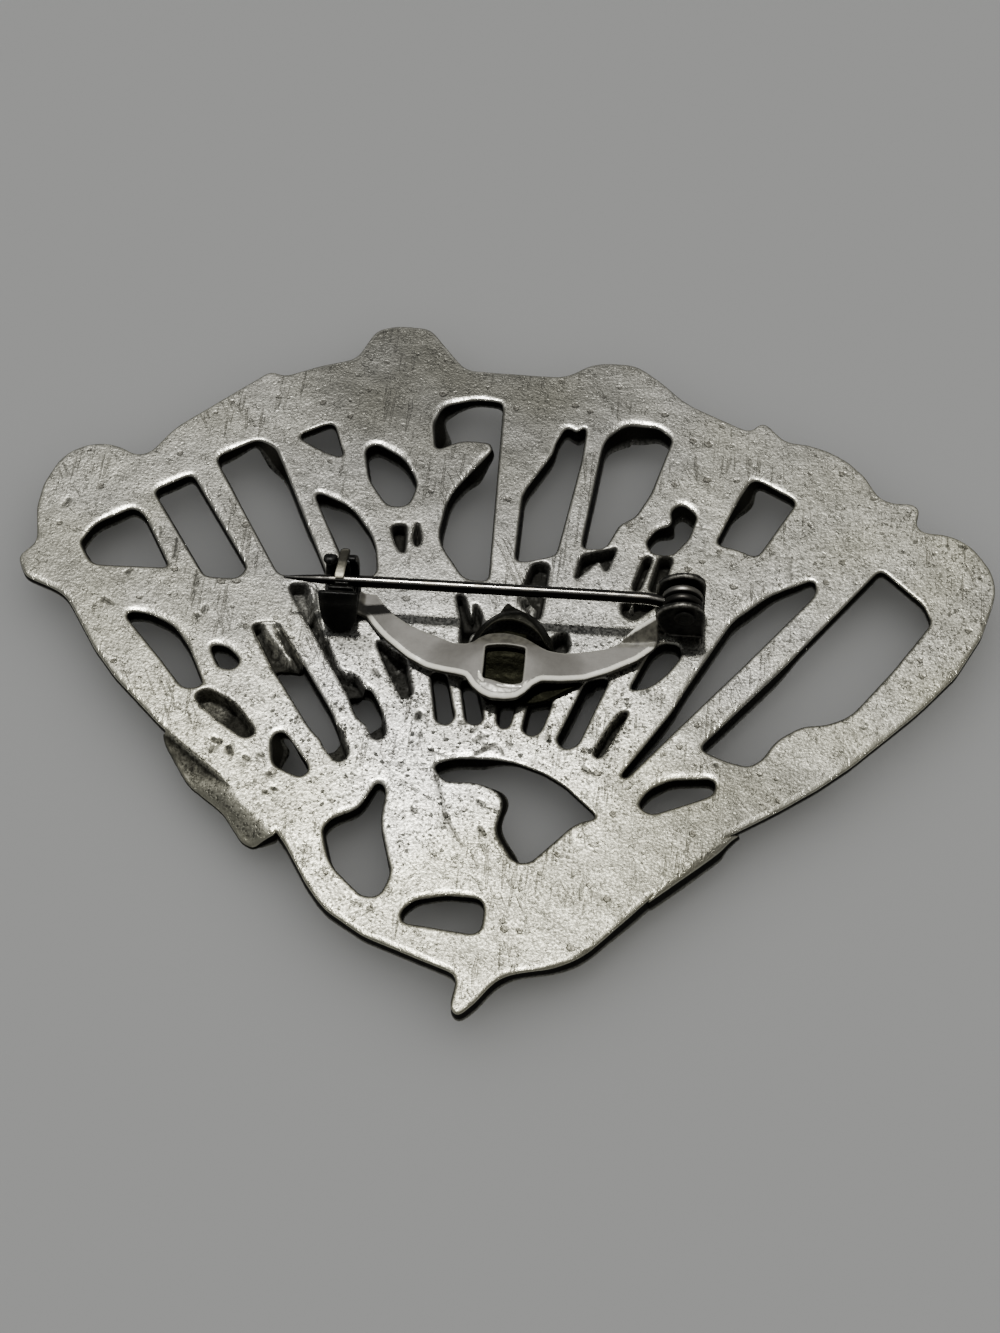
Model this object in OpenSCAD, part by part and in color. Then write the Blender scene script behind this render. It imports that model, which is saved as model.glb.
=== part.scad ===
// Pierced pewter bird brooch, lying face down with its back and its pin up.
// X runs along the pin from the catch to the hinge, Y to the feather tips, Z up.

/* [Casting] */
// Height of the flat back above the surface that the brooch lies on
back_h = 4.2; // [3.8:0.1:5]
// Thickness of the thin outer rim
rim_t = 0.8; // [0.6:0.1:1]
// Thickness of the plate inside the rim
plate_t = 1.9; // [1.6:0.1:2.2]
// Width of the thin outer rim
rim_in = 1.1; // [0.8:0.1:1.4]
// Depth of the blind recesses in the back
recess_d = 1.2; // [0.8:0.1:1.4]

/* [Pin and hinge] */
// Place of the hinge along the pin
hinge_x = 14.8; // [14:0.1:16]
// Place of the pin across the brooch
pin_y = 5.1; // [4.8:0.1:5.4]
// Height of the pin's axis above the back
pin_h = 3.7; // [3.5:0.1:4.2]
// Radius of the pin's stem
stem_r = 0.5; // [0.4:0.05:0.6]
// Place of the pin's point
point_x = -18.2; // [-20:0.1:-17]
// Length of the taper at the point
taper_len = 6.4; // [5:0.1:6.6]
// Length of the neck from the hinge's axis to the straight wire
neck_len = 3.2; // [2.8:0.1:3.6]
// Radius of the rivet
rivet_r = 0.6; // [0.5:0.05:0.7]
// Running clearance between rivet and eye
rivet_gap = 0.05; // [0.03:0.01:0.08]
// Outer radius of the pin's eye
eye_r = 1.7; // [1.5:0.1:1.8]
// Width of the pin's eye
eye_w = 1.3; // [1:0.1:1.8]
// Radius of the rounded hinge ears
ear_r = 1.95; // [1.8:0.05:2.1]
// Clear width between the ears
ear_gap = 2.4; // [2.2:0.1:2.6]
// Thickness of the ears and of the bracket's base
ear_t = 0.5; // [0.4:0.1:0.6]

/* [Catch] */
// Place of the catch's middle along the pin
catch_x = -13.9; // [-14.2:0.1:-13.6]
// Length of the catch along the pin
catch_len = 3.2; // [3:0.1:3.4]
// Outer radius of the catch's shell
shell_r = 2.2; // [2.1:0.1:2.4]
// Bore radius of the catch's shell
shell_bore_r = 1.65; // [1.6:0.05:1.7]
// Running clearance between shell and lock
lock_gap = 0.05; // [0.03:0.01:0.08]
// Inner radius of the lock's sleeve
lock_bore_r = 0.95; // [0.85:0.05:1]
// Length of the lock's lever from the pin's axis
lever_len = 3.1; // [2.8:0.1:3.4]
// Width of the lock's lever along the pin
lever_w = 0.85; // [0.7:0.05:0.9]

/* [Strip] */
// Thickness of the sheet that the strip is cut from
sheet_t = 0.6; // [0.5:0.05:0.7]
// Height of the strip's underside above the back
strip_lift = 0.5; // [0.5:0.05:0.7]
// Radius of the boss in the strip
boss_r = 3.2; // [3:0.1:3.4]
// Rise of the boss above the strip
boss_rise = 1.1; // [0.9:0.1:1.3]
// Width of the square window in the boss
boss_window = 3.3; // [3:0.1:3.5]

/* [Hidden] */
$fn = 48;
// The drawing's own zero point, moved so that the part stands over its middle
plan = [0.3, -2];
// Largest turn between two points of a rounded corner, in degrees
arc_step = 34;
lap = 0.05;
plate_z = back_h - plate_t;
strip_z = back_h + strip_lift;
pin_z = back_h + pin_h;

// Outlines are seen from the back; columns: x, y, corner radius
OUTLINE = [
    [-41.4, 8.4, 0.8], [-40, 10, 1.5], [-40.9, 15, 5], [-39.2, 20, 4], [-35.5, 21.3, 4], [-32.3, 19.4, 1.5],
    [-30.2, 23, 4], [-27.4, 25.6, 5], [-22.5, 30.1, 0.8], [-21.2, 29.6, 1], [-18, 31.1, 3], [-15.1, 32, 2],
    [-13.6, 35.5, 1.5], [-12, 36.1, 2], [-8.8, 36, 1.5], [-7.3, 34, 3], [-5.3, 31.4, 2], [3.7, 31.2, 3],
    [6, 33.1, 4], [9.8, 33.1, 3], [12.1, 31.2, 3], [14.3, 29, 4], [17, 27.6, 8], [20.1, 26.1, 0.8],
    [21, 27.6, 0.8], [23, 25.3, 2], [26, 25, 4], [29.4, 22.9, 4], [31.4, 19.2, 2], [34.8, 19.3, 0.8],
    [34, 16.3, 1], [37.5, 16.2, 4], [40, 14, 4], [41, 10.8, 6], [38.8, 3.6, 12], [34.2, -2, 20],
    [27.4, -8.9, 20], [22.6, -12.4, 20], [17.8, -15.5, 8], [11, -23.1, 8], [7.5, -27, 8], [2, -28.2, 4],
    [0.3, -30.6, 3], [-1.1, -32.1, 0.4], [-1.6, -31, 0.5], [-1.2, -28.4, 0.8], [-10.5, -24.9, 10],
    [-13.2, -22, 8], [-16, -17.3, 5], [-21.2, -12.3, 10], [-26.9, -7.7, 10], [-32.6, -1.9, 15],
    [-36.8, 4.9, 4], [-40.4, 6.4, 1]
];

// Openings that go right through; columns: x, y, corner radius
WINDOWS = [
    [[-36.4, 10.2, 0.8], [-35.4, 12.3, 1.5], [-32.4, 14.3, 0.7], [-31.3, 13.4, 0.5], [-28.4, 8.1, 0.3],
        [-35, 8, 1]],
    [[-31, 16.2, 0.5], [-27.9, 18.2, 0.4], [-21.9, 8.6, 0.8], [-22.6, 7.4, 0.6], [-25.4, 7.4, 0.8]],
    [[-26.2, 20.2, 0.8], [-22.6, 22.4, 1], [-21, 21.6, 0.8], [-15, 8, 0.5], [-19.2, 8, 0.8]],
    [[-19.6, 23, 0.4], [-16.3, 24.8, 0.5], [-14.9, 20.6, 0.3]],
    [[-17.4, 17.3, 0.3], [-13.8, 15.6, 2.5], [-11.5, 12.3, 3], [-10.9, 8.2, 0.8], [-13.3, 8.4, 0.5]],
    [[-13.3, 22, 0.5], [-12.4, 22.7, 0.6], [-9.8, 21.2, 2], [-8.4, 18.6, 2], [-9, 15.9, 1], [-10.8, 15.9, 0.9],
        [-12.6, 18.6, 2]],
    [[-7.6, 25.2, 1], [-7, 27.3, 1.5], [-4, 28.2, 2], [-1.7, 28, 0.4], [-1.6, 8.6, 0.4], [-3.6, 8.6, 1.5],
        [-6.2, 12.6, 4], [-5.6, 17.4, 3], [-3.4, 21, 2], [-2.2, 22.7, 0.4], [-2.5, 23.4, 0.3], [-5, 23.5, 1.5],
        [-7.2, 22.2, 0.3]],
    [[0.5, 10.7, 0.4], [0.7, 18.2, 2], [3, 22.6, 1.5], [3.2, 23.8, 0.3], [4, 25.8, 0.3], [5, 25, 0.2],
        [5.8, 26.3, 0.3], [5.5, 22, 3], [3.9, 11.7, 0.5], [2, 11, 1]],
    [[6, 12.5, 0.4], [7.4, 24.6, 3], [9.2, 26.4, 1.5], [12, 26.2, 1], [13.3, 25, 0.4], [11.6, 18.7, 3],
        [10.4, 16.2, 0.8], [9.1, 15.3, 0.4], [8, 12.7, 0.7]],
    [[13.4, 17.2, 0.3], [14.3, 18.1, 0.5], [15.7, 16.8, 0.5], [15, 14.2, 1], [13.7, 12.4, 0.5],
        [12, 12.4, 0.4], [11.4, 13.6, 0.5], [12.2, 15, 0.5], [13.6, 15.7, 0.4]],
    [[17.3, 13.8, 0.4], [19.3, 19.2, 2], [20.3, 21.2, 0.6], [24.2, 18.9, 0.6], [20.8, 12.6, 0.5],
        [19.4, 13.3, 0.6]],
    [[25.9, 10.9, 0.4], [22, 8.9, 3], [18.9, 6, 3], [15.3, -1, 4], [14.2, -3.4, 1], [10.2, -9.9, 0.3],
        [10.8, -10, 0.2], [14.8, -4.9, 1], [19.5, 1, 8], [25.7, 9, 0.9]],
    [[31.2, 12.2, 0.4], [34.8, 8.7, 1.2], [35.4, 6.9, 1], [32.2, 2, 4], [28.6, -2.9, 2.5], [26.6, -3.8, 1.5],
        [24.8, -4, 1.5], [22.7, -5.5, 2], [21.6, -7.4, 0.8], [20.5, -8.2, 0.6], [18.8, -7.8, 1],
        [16.4, -6.8, 0.5], [23.5, 2, 10]],
    [[-31.9, 3.5, 0.4], [-29.6, 3.4, 1.2], [-27.2, 2.3, 2], [-25.7, 0.2, 2], [-23.9, -3.6, 0.5],
        [-25.7, -3.9, 0.7], [-27.6, -1.5, 3]],
    [[-24.2, 0.7, 0.3], [-22.6, 0.5, 0.6], [-21.3, -0.7, 0.4], [-21.6, -1.8, 0.6], [-23, -1.7, 0.6]],
    [[-19, -0.9, 0.3], [-16.2, -0.7, 0.3], [-13.4, -5.2, 4], [-12.3, -7.6, 0.5], [-13.2, -8.7, 0.5],
        [-14.8, -7.2, 4], [-17.6, -2.9, 3]],
    [[-18, -7.8, 0.7], [-17, -7.3, 0.5], [-14.4, -10.8, 0.8], [-15, -11.8, 0.6], [-17.5, -10.7, 1]],
    [[-12.4, -3, 0.2], [-10.4, -2.8, 0.3], [-9.4, -4.6, 1], [-9.1, -5.6, 0.4], [-10.4, -6.4, 0.4],
        [-11.3, -5.7, 1]],
    [[-5.7, -0.6, 0.3], [-4.3, -0.9, 0.3], [-3.3, -5.2, 0.5], [-3.9, -6, 0.4], [-4.8, -5.7, 0.4]],
    [[-3.2, -1.2, 0.3], [-1.9, -1.4, 0.3], [-1, -5.2, 0.4], [-1.4, -5.9, 0.4], [-2.4, -5.5, 0.4]],
    [[0.1, -3, 0.3], [1.6, -3, 0.3], [1.2, -5.7, 0.4], [0.6, -6.1, 0.4], [0.1, -5.4, 0.4]],
    [[2.6, -3, 0.3], [4.7, -2.6, 0.3], [3.7, -6.1, 0.5], [3, -6.6, 0.4], [2.2, -6.1, 0.5]],
    [[7.1, -0.8, 0.3], [9.2, -0.2, 0.3], [8, -3.5, 3], [6.8, -7.1, 0.6], [5.8, -7.7, 0.4], [5, -6.8, 0.5],
        [6.4, -2.8, 2]],
    [[12.3, 2.6, 0.6], [13.3, 3.5, 0.7], [14.7, 3.3, 0.6], [14.8, 2.1, 0.8], [13.7, 0.3, 1.5], [12.3, -1.1, 0.7],
        [10.6, -1.6, 0.2], [11.5, 0.7, 2]],
    [[-12.9, -16.2, 0.7], [-12.2, -15.2, 1], [-10.2, -14.2, 2], [-8.9, -11.3, 0.3], [-8.2, -12.3, 0.5],
        [-8.4, -15.3, 2], [-7.1, -19.9, 1.2], [-7.8, -22.1, 0.9], [-9.2, -22.1, 0.9], [-12, -19.4, 2]],
    [[-4.8, -9.7, 0.4], [-3, -9, 2], [1, -8.8, 5], [5.2, -10.3, 5], [8.9, -13.8, 0.3], [7, -14.4, 1.5],
        [5, -16.7, 2], [3.6, -18.3, 0.8], [2.4, -18.3, 0.8], [0.7, -15.6, 2], [1.4, -12.3, 2.5],
        [-0.8, -11.2, 2], [-3.7, -11.3, 0.8]],
    [[-6.1, -23.2, 0.6], [-5.1, -22.1, 1], [-2.6, -21.5, 2], [0.4, -21.6, 0.8], [0.3, -24.9, 0.8],
        [-5.9, -24.2, 0.5]],
    [[11.7, -12.5, 0.6], [12.6, -10.8, 1.5], [14.3, -9.8, 1.5], [18.2, -9.4, 0.7], [17.7, -11.1, 0.8],
        [13, -13.2, 0.6]]
];

// Blind recesses in the back; columns: x, y, corner radius
RECESSES = [
    [[-10.4, 13.9, 0.3], [-8.9, 14.2, 0.3], [-8.8, 10.4, 0.2], [-9.8, 12, 0.5]],
    [[-8.1, 14.9, 0.1], [-7.5, 12.6, 0.4], [-7.9, 11.2, 0.2], [-8.4, 12.8, 0.4]],
    [[-13.6, -6.8, 0.2], [-12.5, -6.6, 0.2], [-11.4, -9.3, 0.7], [-12.3, -10.4, 0.6], [-14, -8.2, 0.4]],
    [[-10.8, -5.6, 0.2], [-9.2, -5, 0.2], [-8.6, -7.2, 0.5], [-9.6, -8.1, 0.5]],
    [[5.5, 9, 0.1], [6, 11.9, 0.3], [7.3, 12.4, 0.3], [9.1, 12.9, 0.1], [8.2, 10, 0.1], [7.6, 11.5, 0.1]],
    [[11.3, 12.2, 0.2], [12.2, 12.2, 0.2], [11.1, 8.4, 0.3], [10.3, 8.4, 0.3]],
    [[12.6, 12.3, 0.2], [13.9, 12.3, 0.2], [12.9, 8.4, 0.3], [11.7, 8.4, 0.3]],
    [[9.6, 7.6, 0.2], [9.6, 6.1, 0.3], [10.7, 5.3, 0.3], [12.9, 7.3, 0.3], [12.4, 7.8, 0.2]],
    [[2, 10.9, 0.5], [3.5, 10.9, 0.5], [3.3, 7.5, 1], [3, 4.5, 0.3], [1, 6.6, 0.3], [1.2, 8, 0.5]],
    [[-4.3, 7.2, 0.2], [-3.5, 7.2, 0.2], [-2.7, 4.8, 0.5], [-2.7, 1.8, 0.2], [-3.5, 1.8, 0.2], [-3.6, 4.5, 0.5]],
    [[-2.6, 6.6, 0.1], [-1.7, 5, 0.5], [-2, 3.4, 0.3], [-2.8, 3, 0.2]],
    [[4, 3.3, 0.2], [5.3, 4.1, 0.2], [5.7, 2.6, 0.4], [5.4, 1.6, 0.2], [4, 1.6, 0.2]],
    [[-24.9, -4.6, 0.6], [-23.8, -3.6, 0.7], [-21.3, -4.9, 2], [-19, -7.7, 0.7], [-20, -8.5, 0.7],
        [-22.4, -6.8, 3]],
    [[-21, 2.9, 0.3], [-18.7, 3.2, 0.2], [-15.7, -1.5, 0.1], [-18.6, -1.5, 0.1]],
    [[-18.5, 7.2, 0.4], [-16, 7.3, 0.4], [-15.2, 4.2, 1], [-14.6, 2.2, 1], [-13.2, -1.2, 0.5], [-11.6, -1.6, 0.3],
        [-10.5, -3.4, 0.1], [-12.3, -3.5, 0.1], [-15, 1.2, 3], [-17, 4.5, 3]],
    [[-11, 2.9, 0.3], [-8.8, 1, 0.5], [-7.8, 0.6, 0.5], [-6.8, -3.1, 0.5], [-7.6, -4, 0.4], [-9.2, -1, 3]],
    [[10, -3.6, 0.2], [11, -3.3, 0.2], [9.7, -6.2, 2], [8.6, -8.5, 0.4], [7.9, -7.9, 0.3], [9, -5.4, 2]]
];

// Feather tips of the front that show beyond the back plate; columns: x, y, corner radius
FRONT_TIPS = [
    [[-27, -6, 1], [-26.8, -8.4, 2], [-24.2, -12.4, 2], [-21, -14.9, 3], [-19.3, -17.3, 0.6], [-18.3, -17.9, 0.5],
        [-16.6, -17, 1], [-14, -17, 1], [-16, -13, 1]],
    [[20.6, -13.4, 0.5], [18.5, -16, 2], [15.6, -18.7, 2], [12.4, -21.6, 0.5], [12, -18, 1], [18, -13, 1]]
];

// Feathers and bands of the front; columns: start x, start y, start width, end x, end y, end width, crest height
FEATHERS = [
    [-23.5, 7, 2, -33.8, 17, 4.5, 1],
    [-19.5, 6, 2, -28.6, 21.8, 4.5, 0.8],
    [-14.5, 8, 2, -21.6, 26.5, 4.8, 0.6],
    [-9.5, 9, 2, -13, 31.5, 4.8, 0],
    [-0.5, 7, 1.8, -1, 28.8, 4.5, 0.6],
    [5, 9, 1.8, 7.5, 29.5, 5, 0],
    [12.5, 9, 2, 17.5, 24.5, 4.8, 0.6],
    [19.5, 9.5, 2, 27.5, 21.2, 4.8, 0.8],
    [16, -4, 2, 32.8, 14, 4, 1],
    [-12, -3, 1.6, -18, 5.5, 2.4, 1],
    [-9, -8, 2, -6.5, 3.5, 2.6, 0.8],
    [-1, -7, 1.6, -0.4, 3, 2.4, 0.8],
    [5, -8, 1.6, 8, 4.5, 2.6, 0.8],
    [9.5, -8, 1.6, 15.5, 7.5, 2.4, 1],
    [-13, -12, 3, -29.5, 4.2, 3, 0.6],
    [-9, -18.5, 3, -24, -11.4, 2.4, 1],
    [-12, -20.5, 2.6, -33, 1.4, 3.4, 0.4],
    [-8, -24, 3.4, -14, -18.6, 3.4, 0.2],
    [5, -26, 3, 0, -30.2, 1.6, 1],
    [3, -25, 4, 15, -16.2, 4, 0.2],
    [8, -21.5, 3, 17.2, -15.4, 2.2, 0.8],
    [14, -15, 4, 27.5, -6, 3.4, 0.4],
    [26, -6.5, 3.4, 37.5, 4.5, 4, 0.2]
];

// Rounded lumps of the front; columns: x, y, radius across, crest height
LUMPS = [
    [-36.3, 15.6, 4, 0],
    [37.4, 10.8, 3, 0],
    [-3.5, -17.5, 4.6, 0],
    [8.5, -19, 4, 0.4],
    [-10, -12, 3.4, 0.6],
    [11, -7, 3, 0.8]
];

function unit(v) = v / norm(v);
function flat(p) = [p.x, p.y];

// Arc that rounds the corner b between its neighbours a and c
function corner(a, b, c) =
    let (
        to_a = unit(flat(a) - flat(b)),
        to_c = unit(flat(c) - flat(b)),
        half = acos(max(-1, min(1, to_a * to_c))) / 2,
        cut = min(b[2] / tan(half), 0.48 * norm(flat(a) - flat(b)), 0.48 * norm(flat(c) - flat(b))),
        centre = flat(b) + unit(to_a + to_c) * cut / cos(half),
        arm = flat(b) + to_a * cut - centre,
        side = cross(to_a, to_c) > 0 ? -1 : 1,
        steps = max(1, ceil((180 - 2 * half) / arc_step))
    )
    half > 89 ? [flat(b)] : [for (k = [0:steps]) let (t = side * k * (180 - 2 * half) / steps)
        centre + [arm.x * cos(t) - arm.y * sin(t), arm.x * sin(t) + arm.y * cos(t)]];

function rounded(p) = [for (i = [0:len(p) - 1]) each corner(p[(i + len(p) - 1) % len(p)], p[i], p[(i + 1) % len(p)])];

module areas(tables) for (t = tables) polygon(rounded(t));

// One feather: a low ridge between a round root and a round tip
module feather(row) {
    root = [row[0], row[1]];
    tip = [row[3], row[4]];
    hull() {
        translate([root.x, root.y, plate_z]) cylinder(h = 0.4, r = row[2] / 2, $fn = 8);
        translate([tip.x, tip.y, plate_z]) cylinder(h = 0.4, r = row[5] / 2, $fn = 14);
        translate([root.x, root.y, row[6]]) cylinder(h = 0.4, r = row[2] / 6, $fn = 6);
        translate([tip.x, tip.y, row[6]]) cylinder(h = 0.4, r = row[5] / 5, $fn = 8);
    }
}

// One low round lump, flat on its crest
module lump(row) {
    hull() {
        translate([row[0], row[1], plate_z]) cylinder(h = 0.4, r = row[2], $fn = 20);
        translate([row[0], row[1], (plate_z + row[3]) / 2]) cylinder(h = 0.4, r = 0.82 * row[2], $fn = 16);
        translate([row[0], row[1], row[3]]) cylinder(h = 0.4, r = 0.4 * row[2], $fn = 12);
    }
}

// Head in profile with its eye and beak
module head() {
    hull() {
        translate([-37.3, 11.6, plate_z]) cylinder(h = 0.4, r = 2, $fn = 12);
        translate([-40, 8.6, plate_z]) cylinder(h = 0.4, r = 0.7, $fn = 8);
        translate([-37, 12.4, 0.4]) cylinder(h = 0.4, r = 0.8, $fn = 8);
        translate([-39.6, 9, 1.4]) cylinder(h = 0.4, r = 0.3, $fn = 6);
    }
    hull() {
        translate([-37.8, 10.5, plate_z]) cylinder(h = 0.4, r = 1.6, $fn = 8);
        translate([-34, 3, plate_z]) cylinder(h = 0.4, r = 2, $fn = 12);
        translate([-37, 10, 0.6]) cylinder(h = 0.4, r = 0.7, $fn = 8);
        translate([-34, 4, 0.6]) cylinder(h = 0.4, r = 0.8, $fn = 8);
    }
}

module relief() {
    for (row = FEATHERS) feather(row);
    for (row = LUMPS) lump(row);
    head();
}

// Thin rim to the outline, and the thicker plate with its relief inside the rim and out to the front tips
module casting() color("silver") translate([plan.x, plan.y, 0]) difference() {
    union() {
        translate([0, 0, back_h - rim_t]) linear_extrude(rim_t) areas([OUTLINE]);
        intersection() {
            linear_extrude(back_h - rim_t + lap) union() {
                offset(delta = -rim_in) areas([OUTLINE]);
                areas(FRONT_TIPS);
            }
            union() {
                translate([-50, -50, plate_z]) cube([100, 100, plate_t]);
                relief();
            }
        }
    }
    translate([0, 0, -1]) linear_extrude(back_h + 2) areas(WINDOWS);
    translate([0, 0, back_h - recess_d]) linear_extrude(recess_d + 1) areas(RECESSES);
}

// Crescent between two arcs that meet the catch and the hinge
module crescent() {
    lower_r = 15.4;
    upper_r = 16.7;
    intersection() {
        difference() {
            translate([0.6, lower_r - 2.6]) circle(r = lower_r, $fn = 96);
            translate([0.6, upper_r + 0.9]) circle(r = upper_r, $fn = 96);
        }
        translate([-11.9, -4]) square([24.4, 11]);
    }
}

// Crescent sheet with a domed boss, whose ends turn down to the back and up beside catch and hinge
module strip() color("tan") translate([plan.x, plan.y, 0]) {
    boss = [0.4, -0.8];
    dome_r = (boss_r * boss_r + boss_rise * boss_rise) / (2 * boss_rise);
    difference() {
        union() {
            difference() {
                translate([0, 0, strip_z]) linear_extrude(sheet_t) crescent();
                translate([boss.x, boss.y, strip_z - 1]) cylinder(h = 4, r = boss_r - lap);
            }
            intersection() {
                translate([boss.x, boss.y, strip_z]) cylinder(h = 4, r = boss_r);
                difference() {
                    translate([boss.x, boss.y, strip_z + sheet_t + boss_rise - dome_r]) sphere(r = dome_r);
                    translate([boss.x, boss.y, strip_z + sheet_t + boss_rise - dome_r]) sphere(r = dome_r - sheet_t);
                }
            }
            translate([-12.1, 3.7, back_h]) cube([sheet_t, 2.4, 2.2]);
            translate([12.1, 3, back_h]) cube([sheet_t, 2.8, 2.6]);
        }
        translate([boss.x - boss_window / 2, boss.y - 0.1 - boss_window / 2, strip_z]) cube([boss_window, boss_window, 4]);
    }
}

// Dark loop under the boss: a low hood behind it and a flat tongue that comes out in front of it
module bail() color("darkolivegreen") translate([plan.x, plan.y, 0]) {
    hood = [0.9, 3, back_h - 1];
    hood_r = 3.5;
    difference() {
        intersection() {
            translate(hood) sphere(r = hood_r);
            translate([-4, hood.y, back_h]) cube([10, 6, 4]);
        }
        translate(hood) sphere(r = hood_r - 0.55);
    }
    translate([0, 0, back_h]) linear_extrude(strip_lift - lap)
        polygon(rounded([[-2.5, 3.6, 1], [-1.6, 5.6, 2], [0.3, 6.8, 0.4], [3.2, 5.6, 2], [4.3, 3.6, 1],
            [4.4, 1.5, 1], [6.9, -1.5, 0.5], [4.8, -3.2, 1], [3.4, -4.3, 1], [0.6, -4.3, 1], [-1.8, -2.6, 1]]));
}

// One hinge ear, a plate with a round top
module ear() rotate([90, 0, 0]) linear_extrude(ear_t) union() {
    translate([0, pin_h]) circle(r = ear_r);
    translate([-ear_r, 0]) square([2 * ear_r, pin_h]);
}

module hinge_bracket() color("dimgray") translate([plan.x + hinge_x, plan.y + pin_y, back_h]) difference() {
    union() {
        translate([-ear_r, -ear_gap / 2 - ear_t, 0]) cube([2 * ear_r, ear_gap + 2 * ear_t, ear_t]);
        translate([0, -ear_gap / 2, 0]) ear();
        translate([0, ear_gap / 2 + ear_t, 0]) ear();
    }
    translate([0, 5, pin_h]) rotate([90, 0, 0]) cylinder(h = 10, r = rivet_r + 0.02);
}

module rivet() color("gray") translate([plan.x + hinge_x, plan.y + pin_y, pin_z]) rotate([90, 0, 0]) {
    grip = ear_gap + 2 * ear_t + 0.04;
    translate([0, 0, -grip / 2]) cylinder(h = grip, r = rivet_r);
    for (side = [-1, 1]) translate([0, 0, side * (grip / 2 + 0.12) - 0.12]) cylinder(h = 0.24, r = rivet_r + 0.3);
}

// Straight wire that tapers to its point, with a swelling neck before the round eye
module pin() color("lightgray") translate([plan.x, plan.y + pin_y, pin_z]) difference() {
    union() {
        translate([hinge_x, eye_w / 2, 0]) rotate([90, 0, 0]) cylinder(h = eye_w, r = eye_r);
        translate([point_x, 0, 0]) rotate([0, 90, 0]) {
            cylinder(h = taper_len, r1 = 0.08, r2 = stem_r);
            translate([0, 0, taper_len]) cylinder(h = hinge_x - point_x - taper_len - neck_len, r = stem_r);
            translate([0, 0, hinge_x - point_x - neck_len]) cylinder(h = neck_len - 1.2, r1 = stem_r, r2 = eye_w / 2);
        }
    }
    translate([hinge_x, 5, 0]) rotate([90, 0, 0]) cylinder(h = 10, r = rivet_r + rivet_gap);
}

// Wedge of the plane across the pin, between two angles from the Y axis
module wedge(from_a, to_a, reach) polygon([[0, 0], [reach * cos(from_a), reach * sin(from_a)],
    [reach * cos((from_a + to_a) / 2), reach * sin((from_a + to_a) / 2)], [reach * cos(to_a), reach * sin(to_a)]]);

// Turns a shape drawn across the pin so that it runs along the pin, centred on the catch
module along_pin(len) translate([plan.x + catch_x - len / 2, plan.y + pin_y, pin_z])
    rotate([90, 0, 90]) linear_extrude(len) children();

module catch_shell() color("black") {
    base_h = 0.5;
    difference() {
        union() {
            along_pin(catch_len) circle(r = shell_r);
            along_pin(catch_len - 1) translate([-1.3, -pin_h]) square([2.6, 2.6]);
            translate([plan.x + catch_x, plan.y + pin_y - 0.2, back_h]) linear_extrude(base_h)
                polygon(rounded([[-1.6, 2.4, 0.6], [1.6, 2.4, 0.6], [1.6, -2.4, 1.5], [-1.6, -2.4, 1.5]]));
        }
        along_pin(catch_len + 1) circle(r = shell_bore_r);
        along_pin(catch_len + 1) wedge(60, 135, 4);
        along_pin(lever_w + 0.3) wedge(34, 162, 6);
    }
}

// Lock that turns inside the shell: a slotted sleeve with a lever
module catch_lock() color("silver") {
    sleeve_r = shell_bore_r - lock_gap;
    difference() {
        along_pin(catch_len - 0.2) circle(r = sleeve_r);
        along_pin(catch_len + 1) circle(r = lock_bore_r);
        along_pin(catch_len + 1) translate([-lock_bore_r, 0]) square([2 * lock_bore_r, 3]);
    }
    along_pin(lever_w) rotate(45) union() {
        translate([1.3, -0.35]) square([lever_len - 1.65, 0.7]);
        translate([lever_len - 0.35, 0]) circle(r = 0.35);
    }
}

casting();
strip();
bail();
hinge_bracket();
rivet();
pin();
catch_shell();
catch_lock();
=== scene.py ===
# Bird brooch of cast pewter, face down, with the findings on its back.
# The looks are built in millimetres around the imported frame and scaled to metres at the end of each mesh.

import math
from types import SimpleNamespace

import bpy
import numpy as np
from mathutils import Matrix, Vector, kdtree, noise
from mathutils.bvhtree import BVHTree
from mathutils.geometry import delaunay_2d_cdt


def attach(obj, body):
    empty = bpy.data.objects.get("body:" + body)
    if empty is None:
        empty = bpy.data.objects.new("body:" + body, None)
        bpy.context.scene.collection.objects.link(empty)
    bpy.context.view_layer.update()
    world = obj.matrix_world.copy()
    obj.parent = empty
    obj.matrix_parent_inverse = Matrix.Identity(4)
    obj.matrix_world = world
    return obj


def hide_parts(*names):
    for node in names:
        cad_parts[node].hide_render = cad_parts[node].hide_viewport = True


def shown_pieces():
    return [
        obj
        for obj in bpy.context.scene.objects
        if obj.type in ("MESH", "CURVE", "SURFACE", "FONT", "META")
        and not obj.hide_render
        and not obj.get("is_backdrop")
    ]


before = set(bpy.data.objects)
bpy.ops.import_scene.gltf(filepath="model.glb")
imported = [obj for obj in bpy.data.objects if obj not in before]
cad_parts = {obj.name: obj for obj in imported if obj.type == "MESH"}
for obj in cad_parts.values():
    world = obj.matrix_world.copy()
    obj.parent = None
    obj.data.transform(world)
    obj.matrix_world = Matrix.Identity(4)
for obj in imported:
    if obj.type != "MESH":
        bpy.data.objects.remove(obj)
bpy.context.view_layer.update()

MM = 0.001

# Levels of the frame's casting, in millimetres
BACK_Z = 4.2
RECESS_Z = 3.0
TIP_Z = 3.45
RIM_Z = 3.4
PLATE_Z = 2.3
LEVEL_ROOM = 0.09
LEVEL_SLACK = 0.004
# Shift from the drawing's zero point to the frame's
PLAN = np.array([0.3, -2.0])

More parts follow.
